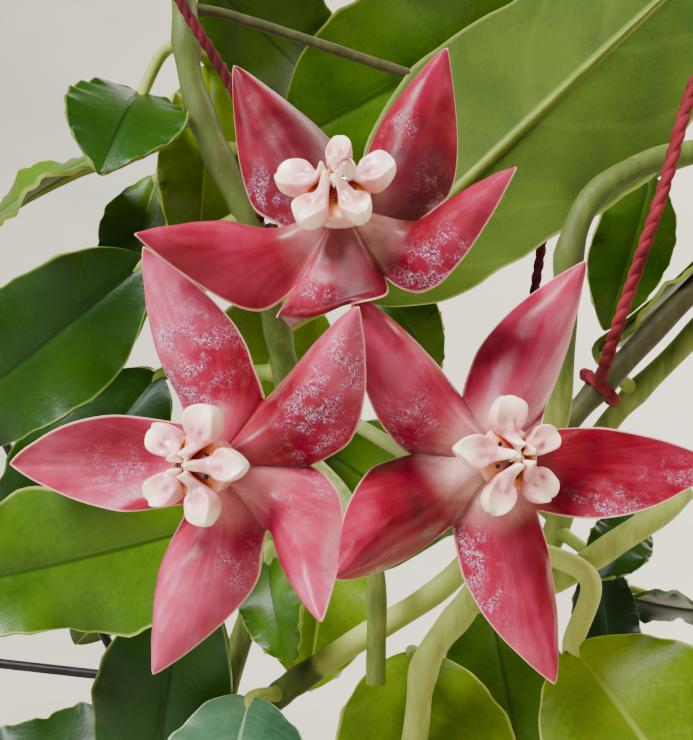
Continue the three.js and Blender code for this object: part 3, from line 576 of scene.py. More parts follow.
def addCrumb(source, centre, size, turn, dice, material):
    crumb = source.copy()
    crumb.data = source.data.copy()
    crumb.data.materials.clear()
    crumb.data.materials.append(material)
    bpy.context.collection.objects.link(crumb)
    lean = Vector((dice.uniform(-0.5, 0.5), dice.uniform(-0.5, 0.5), 1)).to_track_quat("Z", "Y")
    for vertex in crumb.data.vertices:
        spot = Vector(v * s for v, s in zip(vertex.co, size)) * dice.uniform(0.85, 1.15)
        spot.rotate(lean)
        spot = Vector((spot.x * math.cos(turn) - spot.y * math.sin(turn),
                       spot.x * math.sin(turn) + spot.y * math.cos(turn), spot.z))
        vertex.co = centre + spot * mm
    return crumb


def makePottingMix():
    dice = random.Random(mixBed["seed"])
    bottom = pot["floor"] + seat
    outer = boreAt(mixBed["top"]) - mixBed["sideGap"]
    bpy.ops.mesh.primitive_grid_add(x_subdivisions=mixBed["cells"], y_subdivisions=mixBed["cells"], size=2)
    top = bpy.context.object
    for vertex in top.data.vertices:
        x, y = vertex.co.x, vertex.co.y
        disc = Vector((x * math.sqrt(1 - y * y / 2), y * math.sqrt(1 - x * x / 2))) * outer
        rough = 0.6 * math.sin(disc.x * 1.9 + 2) * math.sin(disc.y * 1.7)
        vertex.co = at(disc.x, disc.y, mixHeight(disc.x, disc.y) + rough)
    editAll()
    bpy.ops.mesh.region_to_loop()
    bpy.ops.mesh.extrude_region_move(TRANSFORM_OT_translate={"value": (0, 0, -mixBed["relief"] * 2 * mm)})
    bpy.ops.mesh.extrude_region_move()
    bpy.ops.object.mode_set(mode="OBJECT")
    scale = (boreAt(bottom) - mixBed["sideGap"]) / outer
    for vertex in top.data.vertices:
        if vertex.select:
            vertex.co = Vector((vertex.co.x * scale, vertex.co.y * scale, bottom * mm))
    bpy.ops.object.mode_set(mode="EDIT")
    bpy.ops.mesh.edge_face_add()
    bpy.ops.mesh.select_all(action="SELECT")
    bpy.ops.mesh.normals_make_consistent(inside=False)
    bpy.ops.object.mode_set(mode="OBJECT")
    top.data.materials.append(dampMix)
    bpy.ops.mesh.primitive_ico_sphere_add(subdivisions=1, radius=1)
    source = bpy.context.object
    crumbs = []
    for index in range(mixBed["chips"] + mixBed["grains"]):
        reach = (outer - mixBed["bareEdge"]) * math.sqrt(dice.random())
        turn = dice.uniform(0, 2 * math.pi)
        x, y = reach * math.cos(turn), reach * math.sin(turn)
        kind, finish = ("chip", barkChip) if index < mixBed["chips"] else ("grain", pumice)
        grow = dice.uniform(0.5, 1.15)
        size = [side * grow for side in mixBed[kind + "Size"]]
        height = mixHeight(x, y) + mixBed[kind + "Rise"] + dice.uniform(0, 1.2)
        crumbs.append(addCrumb(source, at(x, y, height), size, dice.uniform(0, 6), dice, finish))
    bpy.data.objects.remove(source)
    mix = joinPieces([top, *crumbs])
    finishPiece(mix, "barkPottingMix", "potting_mix", "potting_mix")


makePot()
makePottingMix()
print("pot and mix ready")


# Vines: the points are listed along each stem's middle

vineRoutes = {
    "left": [
        at(-34, 4, 96), at(-36, 6, 150), seen(225, 700, 88), seen(268, 560, 90), seen(290, 430, 86),
        seen(276, 320, 72), seen(255, 235, 62), seen(215, 150, 60), seen(191, 80, 60), seen(184, 0, 62),
        seen(180, -90, 66), seen(205, -150, 74),
    ],
    "centre": [
        at(16, -22, 96), at(15, -20, 160), seen(407, 780, 62), seen(416, 730, 60), seen(427, 660, 58),
        seen(470, 600, 58), seen(520, 515, 62), seen(556, 420, 64), seen(564, 330, 62), seen(570, 250, 60),
        seen(592, 198, 60), seen(640, 166, 62), seen(693, 152, 64), seen(765, 150, 68),
    ],
    "right": [
        at(-14, -4, 96), at(-15, -2, 170), seen(242, 760, 80), seen(266, 708, 78), seen(343, 650, 75),
        seen(450, 580, 74), seen(520, 490, 82), seen(560, 432, 84), seen(640, 345, 84), seen(693, 290, 84),
        seen(790, 200, 90), seen(810, 120, 96),
    ],
    "back": [
        at(34, 34, 96), at(36, 36, 170), seen(520, 640, 122), seen(560, 520, 116), seen(605, 428, 110),
        seen(693, 334, 110), seen(750, 255, 114), seen(720, 120, 120), seen(640, 20, 124),
    ],
}
# Side branches: their route, radius and tone
branchRoutes = {
    "left": [
        ([seen(289, 440, 86), seen(345, 500, 70), seen(373, 560, 61), seen(376, 684, 60)], 2.3, 0.4),  # cut spur
        ([seen(184, 10, 62), seen(215, 12, 66), seen(257, 24, 68), seen(420, 78, 72)], 1.3, 0.8),  # tendril
    ],
    "centre": [
        ([seen(470, 600, 58), seen(550, 583, 52), seen(620, 540, 52), seen(664, 510, 53), seen(684, 490, 56)],
         2.9, 0.15),
    ],
}
# How old the skin is at each point of a vine, from 0, fresh, to 1, old. A pair is a sudden change.
vineTones = {
    "left": [0.5, 0.5, 0.45, 0.42, 0.45, 0.5, 0.6, 0.64, 0.6, 0.55, 0.5, 0.5],
    "centre": [0.3, 0.25, 0.12, 0.1, 0.1, 0.05, 0.1, 0.2, 0.55, 0.58, 0.56, 0.52, 0.5, 0.5],
    "right": [0.6, 0.6, 0.55, 0.5, (0.55, -0.25), -0.15, 0.3, 0.7, 0.8, 0.8, 0.75, 0.7],
    "back": [0.4, 0.4, 0.35, 0.3, 0.32, 0.35, 0.35, 0.4, 0.4],
}
vine = {"radius": 3, "step": 2.2, "sides": 20, "branchSides": 16, "swelling": 0.55, "swellingLength": 3.4,
        "swellings": {"left": (0.34, 0.8), "centre": (0.5, 0.8), "right": (0.38, 0.72), "back": (0.5,)}}
vinePaths = {name: evenRoute(points, vine["step"] * mm) for name, points in vineRoutes.items()}


def toneAt(tones, mark):
    place = mark * (len(tones) - 1)
    index = min(int(place), len(tones) - 2)
    first, second = tones[index], tones[index + 1]
    first = first[1] if isinstance(first, tuple) else first
    second = second[0] if isinstance(second, tuple) else second
    return blendValues(first, second, place - index)


def stemRadii(places, radius, swellingPlaces, phase):
    # a slightly uneven stem, swollen where leaves and branches leave it
    radii = []
    for index, place in enumerate(places):
        uneven = 1 + 0.03 * math.sin(index * 0.9 + phase) + 0.02 * math.sin(index * 0.31 + phase * 2)
        bulge = 0
        for spot in swellingPlaces:
            off = (place - spot).length / (vine["swellingLength"] * mm)
            bulge = max(bulge, vine["swelling"] * math.exp(-off * off))
        radii.append((radius * uneven + bulge) * mm)
    return radii


def makeVine(name, index):
    path = vinePaths[name]
    spots = [path[int(share * (len(path) - 1))] for share in vine["swellings"][name]]
    for place in leafPlaces:
        if place["vine"] == name:
            spots.append(nearestOnVine(name, (place.get("via") or [place["base"]])[0]))
    tones = [toneAt(vineTones[name], mark) for mark in evenMarks(vineRoutes[name], vine["step"] * mm)]
    stems = [addRod(path, stemRadii(path, vine["radius"], spots, index), vineSkin, vine["sides"], tones)]
    for points, radius, tone in branchRoutes.get(name, []):
        branch = evenRoute(points, vine["step"] * mm)
        radii = stemRadii(branch, radius, [branch[0]], index)
        stems.append(addRod(branch, radii, vineSkin, vine["branchSides"], [tone] * len(branch)))
    stem = joinPieces(stems)
    smoothShade(stem, 60)
    finishPiece(stem, f"vineStem{name.capitalize()}", "stem", f"vine_{name}")


def nearestOnVine(name, point):
    above = [place for place in vinePaths[name] if place.z > (mixBed["top"] + 10) * mm]
    return min(above, key=lambda place: (place - point).length)


# Leaves: base and tip in the photograph or in mm, the roll of the face about the midrib in degrees, and
# the greatest width, arch and wave in mm. The tone is the leaf's green, partly its own colour and partly painted
# light and shade: bright is partly painted light, dark and deep partly painted shade on leaves in shadow.
# Scallop, crimp and phase shape the margin, facing turns the face away from the viewer, and via is what the
# petiole passes.

leafPlaces = [
    dict(vine="left", base=seen(352, 290, 66), tip=seen(762, -92, 82), roll=176, width=56, arch=-6, wave=2.2,
         scallop=5, phase=-0.88, tone="mid"),
    dict(vine="left", base=seen(290, 142, 98), tip=seen(570, -8, 114), roll=8, width=50, arch=6, tone="mid"),
    dict(vine="left", base=seen(206, -20, 80), tip=seen(310, 80, 116), roll=10, width=34, arch=8, tone="mid"),
    dict(vine="left", base=seen(212, 64, 78), tip=seen(196, 300, 68), roll=-6, width=22, arch=5, tone="bright",
         crimp=1.6),
    dict(vine="left", base=seen(141, 95, 66), tip=seen(100, 174, 40), roll=-4, width=28, arch=4, wave=0.6,
         via=[seen(163, 53, 66)], petiole=1.5, petioleTone=0.2, tone="dark"),
    dict(vine="left", base=seen(112, 152, 66), tip=seen(-60, 272, 72), roll=70, width=30, arch=3, tone="mid"),
    dict(vine="left", base=seen(158, 176, 80), tip=seen(120, 335, 76), roll=10, width=20, arch=3, wave=1.4,
         via=[seen(222, 180, 86)], tone="mid"),
    dict(vine="left", base=seen(146, 262, 60), tip=seen(-90, 452, 72), roll=-6, width=34, arch=5, wave=3,
         tone="dark"),
    dict(vine="left", base=seen(160, 374, 88), tip=seen(-12, 600, 86), roll=14, width=34, arch=4, tone="dark"),
    dict(vine="left", base=seen(222, 522, 52), tip=seen(-80, 592, 48), roll=-6, width=35, arch=4, wave=4,
         scallop=7, tone="mid"),
    dict(vine="left", base=seen(188, 572, 72), tip=seen(152, 880, 84), roll=6, width=34, arch=8, wave=3.4,
         tone="dark"),
    dict(vine="left", base=seen(128, 734, 112), tip=seen(-60, 824, 114), roll=52, width=32, arch=4, tone="dark"),
    dict(vine="right", base=seen(250, 698, 62), tip=seen(206, 950, 34), roll=6, width=36, arch=8,
         tone="glaucous"),
    dict(vine="left", base=seen(270, 560, 68), tip=seen(292, 664, 56), roll=20, width=17, arch=3, wave=1.2,
         tone="mid"),
    dict(vine="left", base=seen(306, 296, 94), tip=seen(226, 446, 104), width=36, arch=4, wave=1.8,
         tone="bright"),
    dict(vine="left", base=seen(330, 540, 94), tip=seen(308, 690, 92), width=30, arch=3, wave=1.6,
         tone="bright"),
    dict(vine="left", base=seen(322, 448, 98), tip=seen(446, 530, 98), width=34, arch=3, wave=1.6, tone="mid"),
    dict(vine="left", base=seen(378, 286, 84), tip=seen(440, 370, 80), roll=10, width=19, arch=2, wave=0.8,
         tone="mid"),
    dict(vine="centre", base=seen(412, 652, 76), tip=seen(436, 930, 68), width=46, arch=8, tone="bright"),
    dict(vine="back", base=seen(488, 596, 98), tip=seen(536, 850, 98), width=36, arch=6, wave=1.8, tone="mid"),
    dict(vine="centre", base=seen(572, 648, 40), tip=seen(730, 880, 28), roll=-10, width=44, arch=8, wave=1.6,
         via=[seen(590, 580, 44)], petiole=2.4, petioleTone=0, tone="bright"),
    dict(vine="back", base=seen(598, 562, 100), tip=seen(614, 690, 96), roll=6, width=17, arch=3, wave=1.2,
         tone="deep"),
    dict(vine="back", base=seen(618, 592, 112), tip=seen(800, 604, 106), roll=68, width=30, arch=3, wave=1.8,
         tone="deep"),
    dict(vine="back", base=seen(634, 676, 120), tip=seen(810, 690, 118), roll=58, width=38, arch=4, tone="dark"),
    dict(vine="back", base=seen(650, 176, 122), tip=seen(604, 330, 128), width=23, arch=3, wave=1.2, tone="mid"),
    dict(vine="back", base=seen(600, 352, 98), tip=seen(770, 170, 92), roll=74, width=30, arch=3, wave=1.6,
         tone="mid"),
    dict(vine="right", base=seen(640, 520, 70), tip=seen(592, 580, 62), roll=20, width=15, arch=2, wave=1,
         tone="dark"),
    dict(vine="back", base=seen(700, 80, 108), tip=seen(660, -120, 116), width=34, arch=3, wave=1.8, tone="mid"),
    dict(vine="centre", base=seen(790, 150, 62), tip=seen(1000, 90, 42), roll=10, width=40, arch=6, wave=2.2,
         tone="mid"),
    dict(vine="right", base=seen(815, 230, 100), tip=seen(1010, 380, 96), width=46, arch=6, wave=2.2,
         tone="dark"),
    dict(vine="left", base=seen(180, -130, 66), tip=seen(-40, -240, 44), width=42, arch=6, wave=2.2,
         tone="bright"),
    dict(vine="left", base=seen(225, -160, 84), tip=seen(420, -190, 92), width=42, arch=6, wave=2.2, tone="mid"),
    dict(vine="centre", base=at(34, -42, 208), tip=at(104, -118, 168), width=44, arch=8, wave=2.2,
         facing=(0, -0.5, 1), tone="mid"),
    dict(vine="right", base=at(-34, -28, 200), tip=at(-112, -96, 160), width=46, arch=8, wave=2.4,
         facing=(0, -0.5, 1), tone="dark"),
    dict(vine="left", base=at(-58, 34, 190), tip=at(-150, 88, 172), width=46, arch=9, wave=2.4,
         facing=(-0.3, 0.3, 1), tone="mid"),
    dict(vine="back", base=at(54, 50, 200), tip=at(140, 100, 176), width=46, arch=9, wave=2.4,
         facing=(0.3, 0.4, 1), tone="dark"),
    dict(vine="left", base=at(-34, 44, 280), tip=at(-90, 120, 244), width=44, arch=8, wave=2.2,
         facing=(-0.3, 1, 0.6), tone="bright"),
    dict(vine="back", base=at(40, 66, 306), tip=at(-8, 130, 262), width=44, arch=8, wave=2.2,
         facing=(0, 1, 0.6), tone="mid"),
]
leaf = {"thickness": 1.1, "fold": 0.12, "waves": 13, "waveShift": 1.9, "columns": 26, "rows": 64,
        "groove": 0.35, "grooveWidth": 1.1, "crimp": 0.5, "crimps": 47, "petiole": 1.8, "rib": 1.3,
        "ribStart": 0.06, "ribEnd": 0.92, "ribSteps": 40, "wave": 2, "phaseStep": 1.7, "endRows": 0.75,
        "notch": 0.012, "lobing": 0.018, "tone": 0.45}


def bladeBreadth(along):
    # the half width's share along the blade: an oval that is broadest below the middle
    oval = math.sin(math.pi * min(along, 0.9999) ** 0.86) ** 0.62
    return max(oval, 0) * (1 - 0.35 * along ** 6)


def leafPath(place, along):
    # the midrib is a bowed curve from the base to the tip
    base, tip, bow = place["base"], place["tip"], place["bow"]
    spot = base * (1 - along) ** 2 + bow * 2 * along * (1 - along) + tip * along ** 2
    ahead = ((bow - base) * (1 - along) + (tip - bow) * along).normalized()
    return spot, ahead


def leafPoint(place, across, along):
    spot, ahead = leafPath(place, along)
    side = ahead.cross(place["face"]).normalized()
    normal = side.cross(ahead).normalized()
    breadth = bladeBreadth(along)
    half = breadth * place["width"] / 2
    wave = place.get("wave", leaf["wave"])
    shift = place["phase"] + (0 if across > 0 else leaf["waveShift"])
    ripple = math.sin(along * leaf["waves"] + shift)
    crimp = math.sin(along * leaf["crimps"] + shift * 2) + 0.5 * math.sin(along * leaf["crimps"] * 1.7 + shift)
    folded = leaf["fold"] * half * abs(across)
    waved = wave * ripple * across ** 2 * math.sqrt(breadth)
    crimped = place.get("crimp", leaf["crimp"]) * crimp * abs(across) ** 5 * math.sqrt(breadth)
    groove = leaf["groove"] * math.exp(-(half * across / leaf["grooveWidth"]) ** 2) * smooth(1 - along, 0, 0.3)
    scallop = place.get("scallop", wave) * math.sin(along * leaf["waves"] * 0.85 + shift * 1.7)
    outline = 1 + leaf["notch"] * crimp * abs(across) ** 3
    outline += leaf["lobing"] * scallop * across ** 2
    return spot + side * half * across * outline * mm + normal * (folded + waved + crimped - groove) * mm


def makeLeaf(index, place):
    place.setdefault("phase", index * leaf["phaseStep"])
    ahead = (place["tip"] - place["base"]).normalized()
    side = ahead.cross(Vector(place.get("facing", (0, -1, 0)))).normalized()
    face = side.cross(ahead)
    face.rotate(Quaternion(ahead, math.radians(place.get("roll", 0))))
    place["face"] = face
    place["bow"] = place["base"].lerp(place["tip"], 0.5) + face * place["arch"] * 2 * mm
    shares = [step / leaf["rows"] for step in range(leaf["rows"] + 1)]
    rows = [blendValues(share, share - math.sin(2 * math.pi * share) / (2 * math.pi), leaf["endRows"])
            for share in shares]  # closer together near the base and the tip
    blade = addSheet(leaf["columns"], leaf["rows"],
                     lambda across, along: leafPoint(place, across, rows[round(along * leaf["rows"])]))
    for material in (leafFaces[place["tone"]], underLeaf):
        blade.data.materials.append(material)
    editAll()
    bpy.ops.mesh.remove_doubles(threshold=1e-6)
    bpy.ops.object.mode_set(mode="OBJECT")
    addWall(blade, leaf["thickness"])
    applyModifiers(blade)
    whole = joinPieces([blade, addPetiole(place), addMidrib(place)])
    smoothShade(whole, 50)
    slot = "glaucous_leaf" if place["tone"] == "glaucous" else "leaf"
    finishPiece(whole, f"leaf{index + 1:02d}", slot, f"leaf_{index + 1:02d}")


def underBlade(place, along, depth):
    # a point under the midrib, at a depth in mm below the blade's middle
    spot, ahead = leafPath(place, along)
    side = ahead.cross(place["face"]).normalized()
    return spot - side.cross(ahead).normalized() * depth * mm


def addPetiole(place):
    # the leaf's stalk leaves the vine, meets the blade's base from below and runs out into the midrib
    radius = place.get("petiole", leaf["petiole"])
    via = place.get("via", [])
    start = nearestOnVine(place["vine"], (via or [place["base"]])[0])
    points = [start, *via, underBlade(place, 0, radius * 0.45), underBlade(place, 0.08, radius * 0.6 + 0.5),
              underBlade(place, 0.2, leaf["rib"] * 0.6 + 0.5)]
    join = (len(points) - 3) / (len(points) - 1)
    marks = evenMarks(points, 1.2 * mm)
    radii = []
    for mark in marks:
        if mark < join:
            socket = math.exp(-(mark / join / 0.15) ** 2)
            radii.append(radius * (1 + 0.4 * socket) * mm)
        else:
            radii.append(blendValues(radius, leaf["rib"] * 0.8, (mark - join) / (1 - join)) * mm)
    tone = place.get("petioleTone", leaf["tone"])
    return addRod([curvePoint(points, mark) for mark in marks], radii, petioleFinish, 14, [tone] * len(marks))


def addMidrib(place):
    # the rib under the blade, which runs out towards the tip
    route, radii = [], []
    for step in range(leaf["ribSteps"] + 1):
        share = step / leaf["ribSteps"]
        along = blendValues(leaf["ribStart"], leaf["ribEnd"], share)
        radius = blendValues(leaf["rib"], 0.15, smooth(share, 0, 1))
        route.append(underBlade(place, along, max(leaf["thickness"] / 2 + leaf["groove"], radius + 0.1)))
        radii.append(radius * mm)
    return addRod(route, radii, petioleFinish, 12, [0.5] * len(route))


for number, name in enumerate(vineRoutes):
    makeVine(name, number)
print("vines ready")
for number, place in enumerate(leafPlaces):
    makeLeaf(number, place)
print("leaves ready")


# Flowers: angles in degrees. Yaw turns the face to the viewer's right, pitch tips it up, and roll turns
# the star in its plane. Mist is the pale bloom round the heart, and tone goes from deep wine to rose.
# Glints are the crinkled patches with painted highlight grains: petal, place across and along it, size in mm and
# strength. Shades are the lighter and darker patches, written the same way, partly the petal's own colour and
# partly painted light and shade. Heart is how much darker the middle is, partly painted shade in the cup round the
# corona. Lobes are the corona's own: how wide and long each is, and how blunt its end.

flowers = {
    "top": {
        "centre": seen(341, 208, 4), "yaw": -10, "pitch": 34, "roll": 56, "dome": 16, "stand": 0.8,
        "petals": [
            dict(lift=16, ridge=0.85, twist=0.54, swing=8, long=1.02, wide=1.03, mist=0.1, tone=0.32),
            dict(lift=20, curl=5, ridge=0.8, twist=-0.15, swing=-1, long=1, wide=1.22, mist=0.05, tone=0.16),
            dict(lift=24, curl=3, ridge=1.1, twist=-0.49, swing=-1.4, long=0.97, wide=1, mist=0.3, tone=0.42),
            dict(lift=16, curl=-112, curlEnd=25.6, ridge=0, twist=0.48, swing=-36, long=0.74, wide=1.25, mist=0.12,
                 tone=0.34),
            dict(lift=45, ridge=1.2, twist=0.4, swing=5, long=1.02, wide=1, mist=0.6, tone=0.42),
        ],
        "glints": [(0, 0.35, 0.55, 2.5, 0.8), (0, -0.9, 0.45, 3, 0.5), (1, 1, 0.44, 3.5, 1.1),
                   (4, -0.8, 0.5, 4, 1.1), (4, -0.85, 0.62, 3, 1), (3, -0.5, 0.45, 5, 0.6)],
        "shades": [(0, -0.2, 0.42, 10, -0.45), (0, 0.1, 0.85, 9, 0.25), (0, 0.4, 0.5, 5, 0.15),
                   (1, -0.4, 0.45, 8, -0.05), (1, -0.85, 0.5, 6, -0.25), (3, -0.6, 0.4, 5, 0.3),
                   (3, 0.6, 0.45, 9, -0.4), (4, 0.4, 0.45, 8, -0.25), (4, 0, 0.85, 7, 0.2)],
        "heart": 0.08,
        "lobes": [(0.76, 1, 0.95), (1.03, 1.02, 0.1), (0.95, 0.92, 0.1), (0.86, 0.88, 0.2), (1.03, 1, 0.3)],
    },
    "left": {
        "centre": seen(215, 465, 2), "yaw": -29, "pitch": 3, "roll": 37, "dome": 20, "stand": 1.4,
        "petals": [
            dict(lift=13.5, curl=-10, ridge=1.1, twist=0, swing=7.7, long=1, wide=1.1, mist=0.05, tone=0.54),
            dict(lift=18, curl=-3, ridge=0.56, twist=0.42, swing=1, long=1.08, wide=0.96, mist=0.05, tone=0.58),
            dict(lift=30, curl=-1.5, ridge=-0.4, twist=-0.3, swing=0.5, long=1.07, wide=1.12, mist=0.1, tone=0.64),
            dict(lift=24, curl=-8, ridge=0.83, twist=-0.41, swing=4, long=1, wide=1.07, mist=0.25, tone=0.62),
            dict(lift=36.5, curl=-18.5, ridge=1.25, twist=-0.24, swing=-7, long=0.99, wide=0.99, mist=0.3,
                 tone=0.64),
        ],
        "glints": [(1, 0.75, 0.5, 4.5, 1), (1, 0.8, 0.63, 4, 0.8), (1, 0.2, 0.4, 3.5, 1),
                   (1, -0.3, 0.6, 5, 0.8), (0, -0.3, 0.72, 4, 0.7), (0, -0.3, 0.5, 4, 1),
                   (0, -0.75, 0.4, 4, 1), (0, -0.9, 0.8, 3, 0.8), (4, 0.75, 0.42, 4, 0.5),
                   (3, 0.75, 0.45, 4, 0.6), (2, 0.15, 0.52, 4.5, 0.7)],
        "shades": [(0, 0.3, 0.4, 9, -0.3), (0, -0.3, 0.8, 8, 0.3), (1, 0.3, 0.75, 10, 0.35),
                   (1, -0.6, 0.42, 8, -0.3), (2, 0.1, 0.7, 6, 0.15), (2, -0.7, 0.5, 6, -0.15),
                   (3, 0, 0.8, 10, 0.2), (4, -0.6, 0.6, 8, -0.2), (4, 0.2, 0.85, 8, 0.25)],
        "heart": 0.05,
        "lobes": [(1.1, 1, 0.1), (0.95, 1, 0.3), (0.95, 1, 0.4), (0.9, 0.98, 0.3), (0.95, 1.01, 0.7)],
    },
    "right": {
        "centre": seen(499, 460, 6), "yaw": 21, "pitch": 8, "roll": 62, "dome": 13, "stand": 0,
        "petals": [
            dict(lift=9, curl=0.5, ridge=0.9, twist=-0.05, swing=-0.5, long=1.06, wide=1.02, mist=0.4, tone=0.5),
            dict(lift=16.5, curl=-11, ridge=1.05, twist=0.09, swing=-1.5, long=1.02, wide=1, mist=0.35, tone=0.55),
            dict(lift=12.3, ridge=1.2, twist=-0.31, swing=3.6, long=0.99, wide=1.1, mist=0.7, tone=0.36),
            dict(lift=4.7, curl=-2, ridge=0.35, twist=-0.06, swing=4.4, long=1.04, wide=1.09, mist=0.65, tone=0.5),
            dict(lift=22.5, curl=4.4, ridge=-0.2, twist=-0.06, swing=5.8, long=1.09, wide=1.04, mist=0.05,
                 tone=0.36),
        ],
        "glints": [(1, 0.6, 0.42, 4, 0.7), (4, -0.85, 0.52, 4, 0.8), (4, -0.2, 0.8, 3, 0.5),
                   (3, -0.75, 0.42, 3, 1), (3, -0.9, 0.6, 3, 0.8)],
        "shades": [(0, 0.6, 0.5, 9, -0.06), (0, -0.45, 0.4, 7, 0.4), (0, -0.3, 0.75, 6, 0.35),
                   (1, -0.5, 0.5, 7, -0.12), (1, 0.4, 0.6, 8, 0.2), (2, 0.2, 0.8, 9, 0.15),
                   (2, -0.5, 0.42, 7, -0.25), (3, 0.4, 0.55, 7, -0.15), (3, 0, 0.85, 8, 0.15),
                   (4, 0.3, 0.45, 9, -0.1), (4, 0, 0.8, 6, 0.1)],
        "heart": 0.1,
        "lobes": [(1.1, 1, 0.3), (1, 1.05, 0.8), (0.92, 1, 0.1), (0.98, 0.93, 0.2), (0.84, 0.9, 0.3)],
    },
}
petal = {"reach": 43.5, "notch": 14.4, "thickness": 1.3, "columns": 20, "rows": 48,
         "width": [(0, 1), (0.12, 1.07), (0.3, 1.08), (0.55, 0.85), (0.8, 0.44), (0.93, 0.17), (1, 0)],
         "halfTurn": 36, "shared": 14, "ridgePower": 1.9, "keel": 0.25, "keelWidth": 1.1, "ripple": 0.15,
         "marginShare": 0.3, "bendSteps": 12, "usual": {"curl": 0, "curlEnd": 43}}
notchShare = petal["notch"] / petal["reach"]
notchHalf = petal["notch"] * math.sin(math.radians(petal["halfTurn"]))
notchDrop = petal["notch"] * (1 - math.cos(math.radians(petal["halfTurn"])))


def flowerAxes(bloom):
    turn, tip = math.radians(bloom["yaw"]), math.radians(bloom["pitch"])
    face = Vector((math.sin(turn) * math.cos(tip), -math.cos(turn) * math.cos(tip), math.sin(tip)))
    right = Vector((math.cos(turn), math.sin(turn), 0))
    return face, right, face.cross(right)


def petalHalfWidth(share):
    if share <= notchShare:
        return notchHalf * share / notchShare
    return notchHalf * profile(petal["width"], (share - notchShare) / (1 - notchShare))


def patchShare(patches, number, aside, share):
    total = 0
    for lobe, spotAcross, spotAlong, size, strength in patches:
        if lobe == number:
            gapAside = aside - petalHalfWidth(spotAlong) * spotAcross
            gapAlong = (share - spotAlong) * petal["reach"]
            total += strength * math.exp(-(gapAside ** 2 + gapAlong ** 2 / 2) / size ** 2)
    return total


def petalPoint(bloom, number, across, share):
    # the place of a point, its distance to the margin in mm, its angle and its reach from the heart
    own = bloom["petals"][number]
    outer = max(0, (share - notchShare) / (1 - notchShare))
    half = petalHalfWidth(share) * blendValues(1, own["wide"], smooth(outer, 0, 0.3))
    along = petal["reach"] * share * blendValues(1, own["long"], smooth(outer, 0, 0.6))
    along -= notchDrop * min(1, share / notchShare) * (1 - outer) ** 2 * across ** 2
    aside = half * across
    radius = math.hypot(along, aside)
    offset = math.atan2(aside, along)
    neighbour = bloom["petals"][(number + (1 if aside > 0 else 4)) % 5]
    halfTurn = math.radians(petal["halfTurn"])
    shared = math.radians(petal["shared"])
    blend = smooth(abs(offset), halfTurn - shared, halfTurn + shared)
    mixed = {key: blendValues(own[key], neighbour[key], blend) for key in own}
    out, high, steps = 0, 0, petal["bendSteps"]
    for step in range(steps):
        passed = (step + 0.5) / steps * radius
        lobe = smooth(passed, petal["notch"] * 0.65, petal["notch"] * 1.25)
        curl = mixed["curl"] * smooth(passed, petal["notch"] * 0.8, mixed["curlEnd"])
        bend = math.radians(mixed["lift"] * lobe - bloom["dome"] * (1 - lobe) + curl)
        out += math.cos(bend) * radius / steps
        high += math.sin(bend) * radius / steps
    high -= mixed["ridge"] * half * abs(across) ** petal["ridgePower"]
    high += own["twist"] * aside * smooth(outer, 0, 0.45)
    high -= petal["keel"] * math.exp(-(aside / petal["keelWidth"]) ** 2) * smooth(radius, 12, 20)
    angle = math.radians(bloom["roll"] + own["swing"] * smooth(outer, 0, 1)) + 2 * halfTurn * number + offset
    wave = math.sin(angle * 9 + radius * 0.35) * math.sin(radius * 0.42 + angle * 4 + bloom["roll"])
    high += petal["ripple"] * wave * smooth(radius, 10, 22)
    face, right, up = bloom["axes"]
    spot = bloom["centre"] + (right * math.cos(angle) * out + up * math.sin(angle) * out + face * high) * mm
    edge = half * (1 - abs(across)) + max(0, petal["notch"] - radius)
    # darker towards the heart and lighter or darker in the shade patches: partly the petal's own colour, partly
    # painted light and shade
    tone = mixed["tone"] - bloom["heart"] * (1 - smooth(radius, 6, 26))
    tone += patchShare(bloom["shades"], number, aside, share)
    values = {"edge": edge, "mist": mixed["mist"] * (1 - smooth(radius, 7, 16)), "tone": tone,
              "glint": patchShare(bloom["glints"], number, aside, share)}
    return spot, values, (math.cos(angle), math.sin(angle), radius / petal["reach"])


def makeCorolla(name, bloom):
    lobes = []
    for number in range(5):
        stored, rays = {"edge": [], "mist": [], "tone": [], "glint": []}, []

        def place(across, along):
            spot, values, ray = petalPoint(bloom, number, across, along)
            for key, value in values.items():
                stored[key].append(value)
            rays.extend(ray)
            return spot

        lobe = addSheet(petal["columns"], petal["rows"], place)
        for key, numbers in stored.items():
            storeValues(lobe, key, numbers)
        storeValues(lobe, "ray", rays)
        lobes.append(lobe)
    star = joinPieces(lobes)
    for material in (petalFace, petalBack):
        star.data.materials.append(material)
    editAll()
    bpy.ops.mesh.remove_doubles(threshold=1e-5)
    bpy.ops.mesh.flip_normals()  # the grids were laid with their faces to the back
    bpy.ops.object.mode_set(mode="OBJECT")
    fleshy = star.vertex_groups.new(name="fleshy")
    for vertex, edge in zip(star.data.vertices, star.data.attributes["edge"].data):
        fleshy.add([vertex.index], smooth(edge.value, 0, 3.5), "REPLACE")
    wall = addWall(star, petal["thickness"])
    wall.vertex_group = "fleshy"
    wall.thickness_vertex_group = petal["marginShare"]  # the flesh thins towards the margin
    soft = star.modifiers.new("softEdge", "SUBSURF")
    soft.levels = 1
    soft.render_levels = 1
    applyModifiers(star)
    smoothShade(star, 180)
    finishPiece(star, f"corolla{name.capitalize()}", "petal", f"corolla_{name}")


# Corona: five plump lobes that lie between the petals. Each has a pointed inner process that rests on the
# column and a broad blunt outer end; the hollows between them slope down to the corolla.

